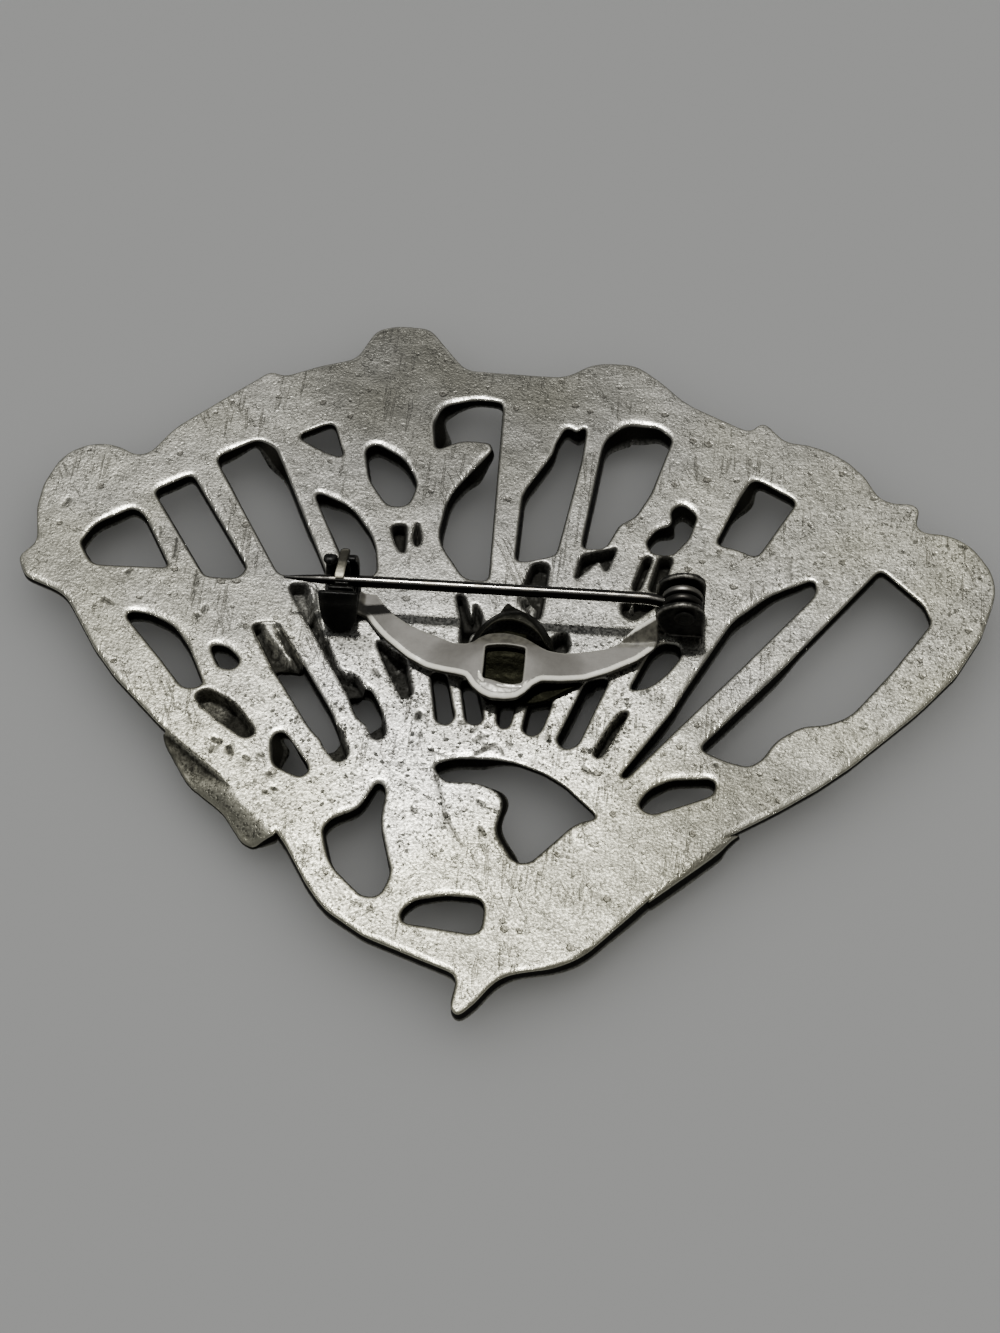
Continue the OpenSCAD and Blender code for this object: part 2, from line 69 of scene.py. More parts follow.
# Mesh of the casting
EDGE_STEP = 0.24
GRID_STEP = 0.36
GRID_REACH = (43, 37)
ARC_TURN, ARC_LIMIT = 17.01, 40
FINE_STEP = 0.08
SOFT_ROUNDS = 3
RING_OFFSETS = (0.06, 0.17, 0.34, 0.56)
RING_SPACING = 0.08
GRID_SHAKE = 0.05
ROW_SHARE = 0.866
RING_ROOM, DENT_ROOM, GRID_ROOM = 0.86, 0.05, 0.62
WALL_ROWS = (0.08, 0.3, 0.65)
DENT_STEP = 0.11

# Form of its edges
RIM_WIDTH = 1.1
CORNER = 0.07
BEVEL_WIDTH = 0.3
BEVEL_SLOPE = 0.28
LEFT_BAND = 0.2
TIP_ROLL = (-13.5, -11.5)
LIP_WIDTH, LIP_DROP = 0.2, 0.1
LEAST_THICK = 0.35

# Relief of its front
BARB_SPACING, BARB_RISE = 0.95, 0.075
SHAFT_HALF = 0.22

# Swells of the back; columns: size, seed, height
SWELLS = ((7.0, 0.0, 0.05), (2.2, 3.0, 0.03), (0.8, 5.0, 0.016), (0.45, 8.0, 0.012))

# Thickness of the metal at the edge of each opening; columns: x, y of a point in it, thickness
EDGE_WALLS = [
    [-33, 11, 1.3], [-26, 13, 1.3], [-20, 15, 2.2], [-17, 23, 0.8], [-13, 12, 1.3], [-11, 19, 1.9],
    [-2.5, 25.8, 1.1], [-7.5, 24, 2.4], [-4, 16, 2], [2, 16, 1.8], [9, 21, 2.2], [14, 15, 1.6],
    [21, 17, 1.2], [19, 1, 1.8], [28, 3, 0.9], [-28, 0, 1.6], [-22.6, -0.7, 1.4], [-15, -5, 3.6],
    [-16, -9.5, 1.2], [-10.6, -4.6, 2.6], [-4.5, -3, 2.6], [-2, -3.5, 2.4], [0.8, -4.3, 2.2],
    [3.4, -4.4, 2.2], [7.3, -3.8, 2.6], [13.2, 1, 1.7], [-10, -17, 1.4], [3, -12.5, 0.6],
    [-2.5, -23, 1.2], [15, -11.2, 1.6]
]

# Front edges that stand further into an opening than the back edge
# Columns: x, y on the back edge, reach, step x, y
LEDGES = [
    [-21, 21.2, 1.6, -0.9, -1.1], [-8, 24.8, 1.5, 1.6, -0.4], [10, 26, 2, 0.2, -0.9],
    [18.6, 20, 1.8, 1, -1], [-17.8, -9, 1.3, 1.3, 0.3], [0.9, -12.6, 1.1, 0.3, 0.05],
    [1, -15.8, 1.1, 0.3, 0.05], [1.9, -17.8, 1.1, 0.3, 0.05], [8.6, 19, 1, 0.2, -0.8],
    [14.6, 16.6, 1.5, 0.3, -1.3], [-3.4, 21, 1, 0.2, -0.9]
]

# Dents and grooves of the back, and one wide patch of painted shadow under the catch; columns: start x,
# start y, end x, end y, half width, depth, darkness
DENTS_AND_SHADOWS = [
    [-1.5, -7.2, -0.9, -6.7, 0.2, 0.1, 0.55], [-1.3, -8.5, -0.6, -8, 0.18, 0.1, 0.7],
    [-0.3, -7.7, 0.1, -7.5, 0.15, 0.1, 0.8], [-2.8, -5.6, -2.4, -5.6, 0.2, 0.1, 0.6],
    [-1.9, -6.4, -1.5, -6, 0.12, 0.08, 0.6], [-6.3, -5.4, -6.2, -5, 0.25, 0.15, 0.9],
    [0.6, -7.7, 0.9, -8.5, 0.07, 0.05, 0.7], [4.3, -5.9, 4.5, -7, 0.08, 0.06, 0.7],
    [1.2, -7.1, 1.4, -7.4, 0.15, 0.08, 0.4], [7.4, -9.2, 7.9, -9.6, 0.18, 0.1, 0.5],
    [-0.8, -12.9, -0.4, -13.1, 0.15, 0.08, 0.6], [-0.5, -15.3, -0.1, -15.9, 0.15, 0.1, 0.7],
    [-6, -14, -5.6, -14.3, 0.12, 0.08, 0.5], [-7.4, -9.8, -7.2, -10.1, 0.1, 0.06, 0.6],
    [-6, -6.9, -5.9, -7.1, 0.12, 0.08, 0.6], [-5.2, -8.3, -4.4, -8.6, 0.08, 0.04, 0.4],
    [-4.4, -8.6, -3.6, -9, 0.09, 0.05, 0.5], [-4.5, -10.4, -4.1, -11.5, 0.14, 0.06, 0.5],
    [-4.1, -11.5, -3.6, -13.1, 0.12, 0.05, 0.45], [-3.6, -13.1, -3.4, -14.2, 0.14, 0.06, 0.5],
    [-3.4, -14.2, -2.9, -15, 0.13, 0.06, 0.45], [-2.9, -15, -2.1, -16.5, 0.12, 0.05, 0.4],
    [-2.1, -16.5, -1.6, -17.1, 0.1, 0.04, 0.35], [-29.8, 12.3, -29.7, 11.2, 0.06, 0.05, 0.6],
    [-28.3, 11.2, -28.3, 9.2, 0.07, 0.06, 0.65], [-26.1, 8.1, -26.1, 6.5, 0.06, 0.05, 0.6],
    [-26.1, 6.5, -26.2, 5, 0.06, 0.05, 0.5], [-33.5, 4.6, -32.7, 4.1, 0.12, 0.08, 0.5],
    [-32, 7.4, -31.6, 7.7, 0.12, 0.08, 0.6], [-25.1, 3.8, -25, 4.3, 0.1, 0.08, 0.6],
    [-25.6, 3.5, -25.3, 3.3, 0.13, 0.08, 0.5], [-38.4, 14, -38.1, 14.7, 0.12, 0.08, 0.6],
    [17.9, -8.2, 18, -8.2, 0.16, 0.09, 0.6], [16.4, 15, 16.5, 12.6, 0.05, 0.015, 0.35],
    [16.5, 12.6, 23.8, 12.9, 0.04, 0.01, 0.25], [23.8, 12.9, 23.7, 10.3, 0.05, 0.02, 0.5],
    [15.6, 15.6, 17.1, 15.2, 0.06, 0.015, 0.3], [-22.5, -8.7, -22, -8.8, 0.2, 0.12, 0.7],
    [-21.2, -9.3, -21, -9.7, 0.22, 0.14, 0.8], [-22.6, -9.8, -22.5, -9.3, 0.16, 0.1, 0.6],
    [-19.8, -10.1, -19.5, -10.3, 0.16, 0.1, 0.6], [-18.6, -9.7, -18.4, -9.9, 0.15, 0.1, 0.6],
    [-17.8, -11.5, -17.6, -11.6, 0.16, 0.1, 0.6], [-17.3, -12.9, -17.1, -12.9, 0.12, 0.08, 0.7],
    [-17.9, -13.2, -17.7, -13.3, 0.12, 0.08, 0.6], [-10.2, -1, -9.9, -1.5, 0.15, 0.1, 0.6],
    # The row from -13, 1.7 to -11.4, 1.5 is a patch of painted shadow under the catch, with a slight dip.
    [10.9, 7.4, 13.2, 7.1, 0.3, 0.02, 0.95], [-13, 1.7, -11.4, 1.5, 0.9, 0.02, 0.4],
    [-7.9, -3.9, -7.6, -3.5, 0.08, 0.06, 0.6], [-7.6, -3.5, -6.9, -3.4, 0.07, 0.05, 0.6]
]

# Brightness and warmth of the back by place, worn metal with painted sheen and warm light, brightest round
# the hub; columns: x, y, brightness from 0 dull to 1 bright, warmth from 0 grey to 1 cream
TONES = [
    [-5, 30, 0, 0.1], [2, 28, 0.06, 0.25], [15, 29, 0.26, 0.3], [-32, 24, 0.3, 0.4],
    [-37, 20, 0.42, 0.5], [26, 21, 0.37, 0.6], [36, 15.5, 0.5, 0.8], [17.5, 18.5, 0.37, 0.4],
    [19, 11, 0.37, 0.5], [-36, 7, 0.19, 0.7], [-25.5, 6, 0.08, 0.1], [-17, 12, 0.2, 0.1],
    [-2, 19, 0.1, 0.1], [8, 20, 0.21, 0.1], [0, 8, 0.4, 0.1], [-5, -5.5, 0.67, 0.2],
    [5.5, -8.7, 1, 0.5], [-6, -12.8, 1.05, 0.05], [10.5, -14.4, 0.15, 1.3], [0.3, -21, 0.24, 1.5],
    [-17, -15, 0.45, 1.5], [20.5, -12, 0.04, 0.6], [30, -3.6, 0.45, 0.9], [22.5, 3.3, 0.45, 0.2],
    [-12.6, -5, 0.66, 0.1], [-27, 0, 0.48, 1], [-2, -27, 0.35, 1.5]
]
TONE_REACH = 5

# Ridges of bright metal left standing in the recesses
# Columns: start x, start y, end x, end y, half width, rise
RIDGES = [
    [-16.5, 7.5, -15.9, 5.7, 0.5, 1], [-15.9, 5.7, -15.3, 3.6, 0.45, 1],
    [-15.3, 3.6, -14.4, 2.1, 0.5, 1], [-13.2, 0.9, -12.4, -0.9, 0.75, 1],
    [1.4, 7.5, 1.1, 6.1, 0.14, 0.9], [1.7, 7.4, 2.4, 5.8, 0.14, 0.8], [10.6, 7.4, 10.5, 7.1, 0.12, 0.8],
    [-19.8, 3.6, -19.1, 2.2, 0.85, 1], [-19.1, 2.2, -18.2, 0.9, 0.6, 1],
    [-18.2, 0.9, -17.3, -0.3, 0.35, 0.9]
]

# Paler places in the recesses; columns: x, y, reach across, reach along, share of bare metal
PALE_PLACES = [[-17.5, 5.8, 1.6, 2.6, 0.32], [-23.9, -4, 2.2, 3, 0.2]]

# Feathers and bands of the front
# Columns: start x, start y, start width, end x, end y, end width, crest height
FEATHERS = [
    [-23.5, 7, 2, -33.8, 17, 4.5, 1], [-19.5, 6, 2, -28.6, 21.8, 4.5, 0.8],
    [-14.5, 8, 2, -21.6, 26.5, 4.8, 0.6], [-9.5, 9, 2, -13, 31.5, 4.8, 0],
    [-0.5, 7, 1.8, -1, 28.8, 4.5, 0.6], [5, 9, 1.8, 7.5, 29.5, 5, 0],
    [12.5, 9, 2, 17.5, 24.5, 4.8, 0.6], [19.5, 9.5, 2, 27.5, 21.2, 4.8, 0.8],
    [16, -4, 2, 32.8, 14, 4, 1], [-12, -3, 1.6, -18, 5.5, 2.4, 1], [-9, -8, 2, -6.5, 3.5, 2.6, 0.8],
    [-1, -7, 1.6, -0.4, 3, 2.4, 0.8], [5, -8, 1.6, 8, 4.5, 2.6, 0.8], [9.5, -8, 1.6, 15.5, 7.5, 2.4, 1],
    [-13, -12, 3, -29.5, 4.2, 3, 0.6], [-9, -18.5, 3, -24, -11.4, 2.4, 1],
    [-12, -20.5, 2.6, -33, 1.4, 3.4, 0.4], [-8, -24, 3.4, -14, -18.6, 3.4, 0.2],
    [5, -26, 3, 0, -30.2, 1.6, 1], [3, -25, 4, 15, -16.2, 4, 0.2], [8, -21.5, 3, 17.2, -15.4, 2.2, 0.8],
    [14, -15, 4, 27.5, -6, 3.4, 0.4], [26, -6.5, 3.4, 37.5, 4.5, 4, 0.2]
]

# Rounded lumps of the front; columns: x, y, radius across, crest height
LUMPS = [
    [-36.3, 15.6, 4, 0], [37.4, 10.8, 3, 0], [-3.5, -17.5, 4.6, 0], [8.5, -19, 4, 0.4],
    [-10, -12, 3.4, 0.6], [11, -7, 3, 0.8], [-37.3, 11.6, 2.2, 0.4], [-34.4, 5, 2.2, 0.6]
]


def smooth(low, high, value):
    """Smooth step from 0 at low to 1 at high, for numbers and arrays"""
    t = np.clip((value - low) / (high - low), 0, 1)
    return t * t * (3 - 2 * t)


def noise_at(points, size, seed=0.0):
    """Even noise of about -1 to 1 at flat points, for lumps of the given size"""
    return np.array([noise.noise(Vector((x / size, y / size, seed))) for x, y in points[:, :2]])


def mesh_object(name, verts, faces, material, values=None):
    """Object from millimetre vertices, smooth shaded, with named point values that its material reads"""
    mesh = bpy.data.meshes.new(name)
    mesh.from_pydata((np.asarray(verts, float) * MM).tolist(), [], [list(map(int, f)) for f in faces])
    for key, numbers in (values or {}).items():
        layer = mesh.attributes.new(key, "FLOAT", "POINT")
        layer.data.foreach_set("value", np.asarray(numbers, np.float32))
    mesh.shade_smooth()
    mesh.materials.append(material)
    mesh.update()
    piece = bpy.data.objects.new(name, mesh)
    bpy.context.scene.collection.objects.link(piece)
    return piece


# Shared builders

def placed(points, centre=PLAN):
    """A table of plan points, moved to a centre in the frame"""
    return [list(np.array(p) + centre) for p in points]


def fixed(piece, body, node):
    """Declares what a finding rides on and the CAD node that it replaces"""
    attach(piece, body)
    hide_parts(node)


def beside(path, offset):
    """Points beside a chain, at a distance to its left"""
    ahead = np.gradient(path, axis=0)
    if np.allclose(path[0], path[-1]):
        ahead[0] = ahead[-1] = path[1] - path[-2]
    left = np.stack([-ahead[:, 1], ahead[:, 0]], 1)
    return path + offset * left / np.maximum(np.linalg.norm(left, axis=1, keepdims=True), 1e-9)


def tree_of(points):
    """Search tree over flat points"""
    tree = kdtree.KDTree(len(points))
    for i, p in enumerate(points):
        tree.insert((p[0], p[1], 0), i)
    tree.balance()
    return tree


def distances(tree, points):
    return np.array([tree.find((x, y, 0))[2] for x, y in points[:, :2]])


def dense(paths, step=0.05):
    """Points closely spaced along chains, to measure distances from"""
    out = []
    for path in paths:
        for a, b in zip(path[:-1], path[1:]):
            count = max(1, int(np.linalg.norm(b - a) / step))
            out += [a + (b - a) * k / count for k in range(count)]
        out.append(path[-1])
    return np.array(out)


def turn_up(flat, triangles):
    """Makes all plan triangles run anticlockwise"""
    a, b, c = (flat[triangles[:, k]] for k in range(3))
    turned = (b[:, 0] - a[:, 0]) * (c[:, 1] - a[:, 1]) - (b[:, 1] - a[:, 1]) * (c[:, 0] - a[:, 0]) < 0
    triangles[turned] = triangles[turned][:, ::-1]
    return triangles


def thinned(points, spacing):
    """The first point in each square of a grid"""
    cells = {}
    for x, y in points:
        cells.setdefault((round(x / spacing), round(y / spacing)), (x, y))
    return list(cells.values())


def plan_mesh(points, pairs):
    """Triangles over plan points that keep the given edges: points, triangles, pieces of the edges"""
    result = delaunay_2d_cdt([Vector(p) for p in points], pairs, [], 0, 1e-5, True)
    flat = np.array([v[:] for v in result[0]])
    held = {tuple(sorted(e)) for e, origin in zip(result[1], result[4]) if origin}
    return flat, np.array([f for f in result[2] if len(f) == 3]), held


def compact(flat, triangles):
    """Leaves out the points that no triangle uses"""
    used = np.unique(triangles)
    renumber = np.full(len(flat), -1)
    renumber[used] = np.arange(len(used))
    return flat[used], renumber[triangles]


def border_of(triangles):
    """Open sides of plan triangles, as pairs of point numbers"""
    sides = dict.fromkeys(pair for f in triangles.tolist() for pair in zip(f, f[1:] + f[:1]))
    return [pair for pair in sides if pair[::-1] not in sides]


def neighbours(border):
    """The next and the last point along the border, by point number"""
    return dict(border), {q: p for p, q in border}


def outward(flat, border):
    """Direction out of the metal at each border point, 0 at other points"""
    ahead, behind = neighbours(border)
    out = np.zeros(flat.shape)
    for p, _ in border:
        along = flat[ahead.get(p, p)] - flat[behind.get(p, p)]
        out[p] = np.array([along[1], -along[0]]) / max(np.linalg.norm(along), 1e-9)
    return out


def closed_skin(flat, triangles, border, upper, lower, shares, step, bend):
    """Closed skin over plan triangles: vertices and faces.
    Its walls have rows at shares of the way down; step moves their foot, bend their middle."""
    count = len(flat)
    start = {p: 2 * count + k * len(shares) for k, (p, _) in enumerate(border)}
    rows = []
    for p, _ in border:
        for share in shares:
            x, y = flat[p] + step[p] * share + bend[p] * 4 * share * (1 - share)
            rows.append((x, y, upper[p] + (lower[p] - upper[p]) * share))
    verts = np.vstack([np.column_stack([flat, upper]), np.column_stack([flat + step, lower]), rows])
    faces = [*triangles, *(triangles[:, ::-1] + count)]
    for pair in border:
        here, there = ([p, *(start[p] + k for k in range(len(shares))), p + count] for p in pair)
        for k in range(len(shares) + 1):
            faces.append((here[k], here[k + 1], there[k + 1], there[k]))
    return verts, faces


LOOP_STEP = 0.12


def soft_loop(points, rounds):
    """Closed loop through the points, evenly spaced and softened"""
    loop = np.array([*points, points[0]], float)
    run = np.concatenate([[0], np.cumsum(np.linalg.norm(np.diff(loop, axis=0), axis=1))])
    at = np.linspace(0, run[-1], max(8, round(run[-1] / LOOP_STEP)), endpoint=False)
    loop = np.stack([np.interp(at, run, loop[:, k]) for k in (0, 1)], 1)
    for _ in range(rounds):
        loop = loop + 0.25 * (np.roll(loop, 1, 0) + np.roll(loop, -1, 0) - 2 * loop)
    return loop


def within(loop, points):
    """Which plan points lie inside a loop"""
    inside = np.zeros(len(points), bool)
    for a, b in zip(loop, np.roll(loop, -1, 0)):
        crosses = (a[1] > points[:, 1]) != (b[1] > points[:, 1])
        slope = (b[0] - a[0]) / (b[1] - a[1]) if b[1] != a[1] else 0
        inside ^= crosses & (points[:, 0] < a[0] + (points[:, 1] - a[1]) * slope)
    return inside


SHEET_SPACING = 0.06
SHEET_BULGE = 0.02
SHEET_ROWS = (0.25, 0.5, 0.75)
BAND_RINGS = (0.32, 0.4, 0.48)


def sheet(name, material, outline, holes, top, thick, edge=0.12, spacing=0.22, place=None, values=None,
          sides=None):
    """Sheet cut along an outline, with rounded rims, that follows a height over its plan.
    Values are rules for its upper face, sides the numbers for its walls."""
    loops = [soft_loop(points, rounds) for points, rounds in [outline, *holes]]

    def in_metal(points):
        keep = within(loops[0], points)
        for hole in loops[1:]:
            keep &= ~within(hole, points)
        return keep

    points, pairs, extra = [], [], []
    rings = [np.vstack([loop, loop[:1]]) for loop in loops]
    for loop, ring in zip(loops, rings):
        first = len(points)
        points += [tuple(p) for p in loop]
        pairs += [(first + k, first + (k + 1) % len(loop)) for k in range(len(loop))]
        for offset in (edge * 0.3, edge, edge * 2.2, *BAND_RINGS):
            for side in (-1, 1):
                extra += list(beside(ring, side * offset)[:-1])
    tree = tree_of(dense(rings, 0.04))
    low, high = loops[0].min(0), loops[0].max(0)
    grid = np.meshgrid(np.arange(low[0], high[0], spacing), np.arange(low[1], high[1], spacing))
    grid, extra = np.stack(grid, -1).reshape(-1, 2), np.array(extra)
    extra, grid = extra[distances(tree, extra) > edge * 0.25], grid[distances(tree, grid) > edge * 2.6]
    extra = np.vstack([extra, grid])
    flat, triangles, _ = plan_mesh(points + thinned(extra[in_metal(extra)], SHEET_SPACING), pairs)
    triangles = triangles[in_metal(flat[triangles].mean(1))]
    flat, triangles = compact(flat, turn_up(flat, triangles))
    gap = distances(tree, flat)
    height = top(flat, gap)
    round_off = edge * (1 - np.sqrt(1 - np.clip(1 - gap / edge, 0, 1) ** 2))
    border = border_of(triangles)
    verts, faces = closed_skin(flat, triangles, border, height - round_off, height - thick + round_off,
                               SHEET_ROWS, np.zeros(flat.shape), SHEET_BULGE * outward(flat, border))
    layers = {}
    for key, rule in {"wear_and_highlight": lambda _, gap: smooth(edge * 1.8, edge * 0.5, gap), **(values or {})}.items():
        layers[key] = np.zeros(len(verts))
        layers[key][:len(flat)] = rule(flat, gap)
    for key, number in {"wear_and_highlight": 1.0, **(sides or {})}.items():
        layers[key][2 * len(flat):] = number
    return mesh_object(name, verts if place is None else place(verts), faces, material, layers)


def sweep(name, material, centres, halves, side, square=2.0, rounds=20, closed=False, values=None):
    """Body swept along a path; halves are half widths along side and across it.
    Square 2 is round, 8 nearly a box. Values are rules for point values at the angles around the path."""
    centres, halves, side = np.array(centres, float), np.array(halves, float), np.array(side, float)
    count = len(centres)
    if closed:
        ahead = np.roll(centres, -1, 0) - np.roll(centres, 1, 0)
    else:
        ahead = np.gradient(centres, axis=0)
    across = np.cross(ahead, side)
    across /= np.linalg.norm(across, axis=1, keepdims=True)
    angles = np.arange(rounds) * 2 * math.pi / rounds
    c, s = np.cos(angles), np.sin(angles)
    u = np.sign(c) * np.abs(c) ** (2 / square)
    v = np.sign(s) * np.abs(s) ** (2 / square)
    rings = centres[:, None] + halves[:, :1, None] * u[None, :, None] * side
    rings = rings + halves[:, 1:, None] * v[None, :, None] * across[:, None]
    verts = rings.reshape(-1, 3)
    faces = []
    for k in range(count if closed else count - 1):
        here, there = k * rounds, (k + 1) % count * rounds
        for j in range(rounds):
            faces.append((here + j, here + (j + 1) % rounds, there + (j + 1) % rounds, there + j))
    rules = {"wear_and_highlight": lambda a: np.abs(np.sin(2 * a)) ** 3, **(values or {})}
    layers = {key: np.tile(rule(angles), count) for key, rule in rules.items()}
    if not closed:
        verts = np.vstack([verts, centres[:1], centres[-1:]])
        last = (count - 1) * rounds
        for j in range(rounds):
            faces.append((count * rounds, (j + 1) % rounds, j))
            faces.append((count * rounds + 1, last + j, last + (j + 1) % rounds))
        layers = {key: np.concatenate([numbers, [0, 0]]) for key, numbers in layers.items()}
    return mesh_object(name, verts, faces, material, layers)


TURNED_SIDES = 40


def revolve(name, material, origin, profile):
    """Body of revolution about a line along Y; the profile's columns: place along Y, radius, share of the
    pale rim colour (worn metal and painted highlight)
    """
    origin, profile, n = np.array(origin, float), np.array(profile, float), TURNED_SIDES
    angles = np.arange(n) * 2 * math.pi / n
    rings = [origin + np.stack([r * np.cos(angles), np.full(n, y), r * np.sin(angles)], 1)
             for y, r, _ in profile]
    faces = []
    for k in range(len(profile) - 1):
        for j in range(n):
            a, b = k * n + j, k * n + (j + 1) % n
            faces.append((a, b, b + n, a + n))
    faces.append(tuple(range(n - 1, -1, -1)))
    faces.append(tuple(range((len(profile) - 1) * n, len(profile) * n)))
    return mesh_object(name, np.vstack(rings), faces, material, {"wear_and_highlight": np.repeat(profile[:, 2], n)})


# Casting: outlines read from the frame

def level_edges(mesh, level):
    """Border of the frame mesh's flat areas at one level, as pairs of plan points"""
    edges = {}
    for face in mesh.polygons:
        corners = [mesh.vertices[i].co / MM for i in face.vertices]
        if face.normal.z < 0.9 or any(abs(c.z - level) > LEVEL_SLACK for c in corners):
            continue
        keys = [(round(c.x, 3), round(c.y, 3)) for c in corners]
        for a, b in zip(keys, keys[1:] + keys[:1]):
            pair = (min(a, b), max(a, b))
            edges[pair] = edges.get(pair, 0) + 1
    return {pair for pair, count in edges.items() if count == 1}


def chains(edges):
    """Joins edges into chains of points that end only where more than two edges meet"""
    near = {}
    for a, b in edges:
        near.setdefault(a, []).append(b)
        near.setdefault(b, []).append(a)
    left = set(edges)

    def follow(a, b):
        path = [a, b]
        left.discard((min(a, b), max(a, b)))
        while len(near[path[-1]]) == 2 and path[-1] != path[0]:
            ahead = [p for p in near[path[-1]] if (min(p, path[-1]), max(p, path[-1])) in left]
            if not ahead:
                break
            left.discard((min(ahead[0], path[-1]), max(ahead[0], path[-1])))
            path.append(ahead[0])
        return np.array(path)

    found = []
    for a in sorted(p for p in near if len(near[p]) != 2):
        for b in sorted(near[a]):
            if (min(a, b), max(a, b)) in left:
                found.append(follow(a, b))
    while left:
        found.append(follow(*min(left)))
    return found


def rounded_chain(path):
    """Bends the chords of the frame's arcs back to arcs, then spaces and softens the points evenly.
    A chord belongs to an arc where the path turns by more than ARC_TURN and less than ARC_LIMIT degrees."""
    closed = np.allclose(path[0], path[-1])
    steps = np.diff(path, axis=0)
    lengths = np.linalg.norm(steps, axis=1)
    heading = np.degrees(np.arctan2(steps[:, 1], steps[:, 0]))
    turn = (np.diff(heading) + 180) % 360 - 180
    ends = [(heading[0] - heading[-1] + 180) % 360 - 180] if closed else [0.0]
    turns = np.concatenate([ends, turn, ends])
    fine = []
    for i, step in enumerate(steps):
        a, b = turns[i], turns[i + 1]
        less, more = sorted((abs(a), abs(b)))
        bend = 0.0
        if a * b > 0 and ARC_TURN < more < ARC_LIMIT:
            bend = math.copysign(min(less, more / 2), a)
        rise = lengths[i] / 2 * math.tan(math.radians(bend) / 2)
        side = np.array([step[1], -step[0]]) / max(lengths[i], 1e-9)
        count = max(1, int(lengths[i] / FINE_STEP))
        for k in range(count):
            s = k / count
            fine.append(path[i] + step * s + side * rise * 4 * s * (1 - s))
    fine.append(path[-1])
    fine = np.array(fine)
    run = np.concatenate([[0], np.cumsum(np.linalg.norm(np.diff(fine, axis=0), axis=1))])
    count = max(3 if closed else 1, round(run[-1] / EDGE_STEP))
    at = np.linspace(0, run[-1], count + 1)
    even = np.stack([np.interp(at, run, fine[:, k]) for k in (0, 1)], 1)
    for _ in range(SOFT_ROUNDS):
        if closed:
            ring = even[:-1]
            ring = ring + 0.25 * (np.roll(ring, 1, 0) + np.roll(ring, -1, 0) - 2 * ring)
            even = np.vstack([ring, ring[:1]])
        elif len(even) > 2:
            even[1:-1] += 0.25 * (even[:-2] + even[2:] - 2 * even[1:-1])
    return even


def seen_level(tree, x, y):
    """Height of the frame's casting at a plan point, seen from above, or None in an opening"""
    hit = tree.ray_cast((x, y, 20), (0, 0, -1))[0]
    return None if hit is None else hit.z


def dent_points():
    """Close points over the dents, so that the mesh can follow them"""
    out = []
    for x0, y0, x1, y1, width, _, _ in DENTS_AND_SHADOWS:
        start, axis = np.array([x0, y0]) + PLAN, np.array([x1 - x0, y1 - y0])
        length = max(np.linalg.norm(axis), 1e-6)
        along = axis / length
        aside = np.array([-along[1], along[0]])
        for t in np.arange(-width - 0.1, length + width + DENT_STEP, DENT_STEP):
            for u in (-1.5, -0.8, 0, 0.8, 1.5):
                out.append(start + along * t + aside * u * width)
    return out


def off_segment(flat, start, end, width):
    """Distance of plan points from a segment of the drawing, in half widths"""
    local, axis = flat - PLAN - start, np.subtract(end, start)
    share = np.clip((local @ axis) / max(axis @ axis, 1e-9), 0, 1)
    return np.linalg.norm(local - share[:, None] * axis, axis=1) / width


def dent_depth(flat):
    """Depth and darkness of the dents at plan points, and of the painted shadow under the catch"""
    depth, dark = np.zeros(len(flat)), np.zeros(len(flat))
    for x0, y0, x1, y1, width, deep, shade in DENTS_AND_SHADOWS:
        off = off_segment(flat, (x0, y0), (x1, y1), width)
        depth = np.maximum(depth, deep * (1 - smooth(0, 1.5, off)))
        dark = np.maximum(dark, shade * (1 - smooth(0.6, 1.5, off)))
    return depth, dark


def ridge_rise(flat):
    """Share of bright ridge metal at plan points of the recesses"""
    ragged = 0.35 * noise_at(flat, 0.4, 33.0)
    rise = np.zeros(len(flat))
    for x0, y0, x1, y1, width, high in RIDGES:
        off = off_segment(flat, (x0, y0), (x1, y1), width)
        rise = np.maximum(rise, high * (1 - smooth(0.5, 1.2, off + ragged)))
    return rise


def tone_at(flat):
    """Brightness and warmth of the back at plan points, blended from the table: worn metal with painted
    sheen and warm light
    """
    local = flat - PLAN
    table = np.array(TONES)
    gaps = ((local[:, None, :] - table[None, :, :2]) ** 2).sum(2)
    weights = np.exp(-gaps / (2 * TONE_REACH ** 2)) + 1e-9
    return (weights @ table[:, 2:] / weights.sum(1)[:, None]).T


def triangulate(paths, frame_tree):
    """Triangles over the casting's plan: points, triangles, pieces of the outlines"""
    points, pairs, index = [], [], {}
    for path in paths:
        keys = [(round(x, 4), round(y, 4)) for x, y in path]
        for key in keys:
            if key not in index:
                index[key] = len(points)
                points.append(key)
        ids = [index[key] for key in keys]
        pairs += [(a, b) for a, b in zip(ids[:-1], ids[1:]) if a != b]
    border = tree_of(points)

    def useful(p, room):
        return seen_level(frame_tree, *p) is not None and border.find((p[0], p[1], 0))[2] > room

    extra = []
    for path in paths:
        for side in (-1, 1):
            for offset in RING_OFFSETS:
                extra += [tuple(p) for p in beside(path, side * offset) if useful(p, RING_ROOM * offset)]
    extra += [tuple(p) for p in dent_points() if useful(p, DENT_ROOM)]
    kept = thinned(extra, RING_SPACING)
    near = tree_of(points + kept)
    rng = np.random.default_rng(7)
    across, up = GRID_REACH
    for k, y in enumerate(np.arange(-up, up, GRID_STEP * ROW_SHARE)):
        for x in np.arange(-across + (k % 2) * GRID_STEP / 2, across, GRID_STEP):
            px, py = np.array([x, y]) + rng.uniform(-GRID_SHAKE, GRID_SHAKE, 2)
            free = near.find((px, py, 0))[2] > GRID_ROOM * GRID_STEP
            if free and seen_level(frame_tree, px, py) is not None:
                kept.append((px, py))
    return plan_mesh(points + kept, pairs)


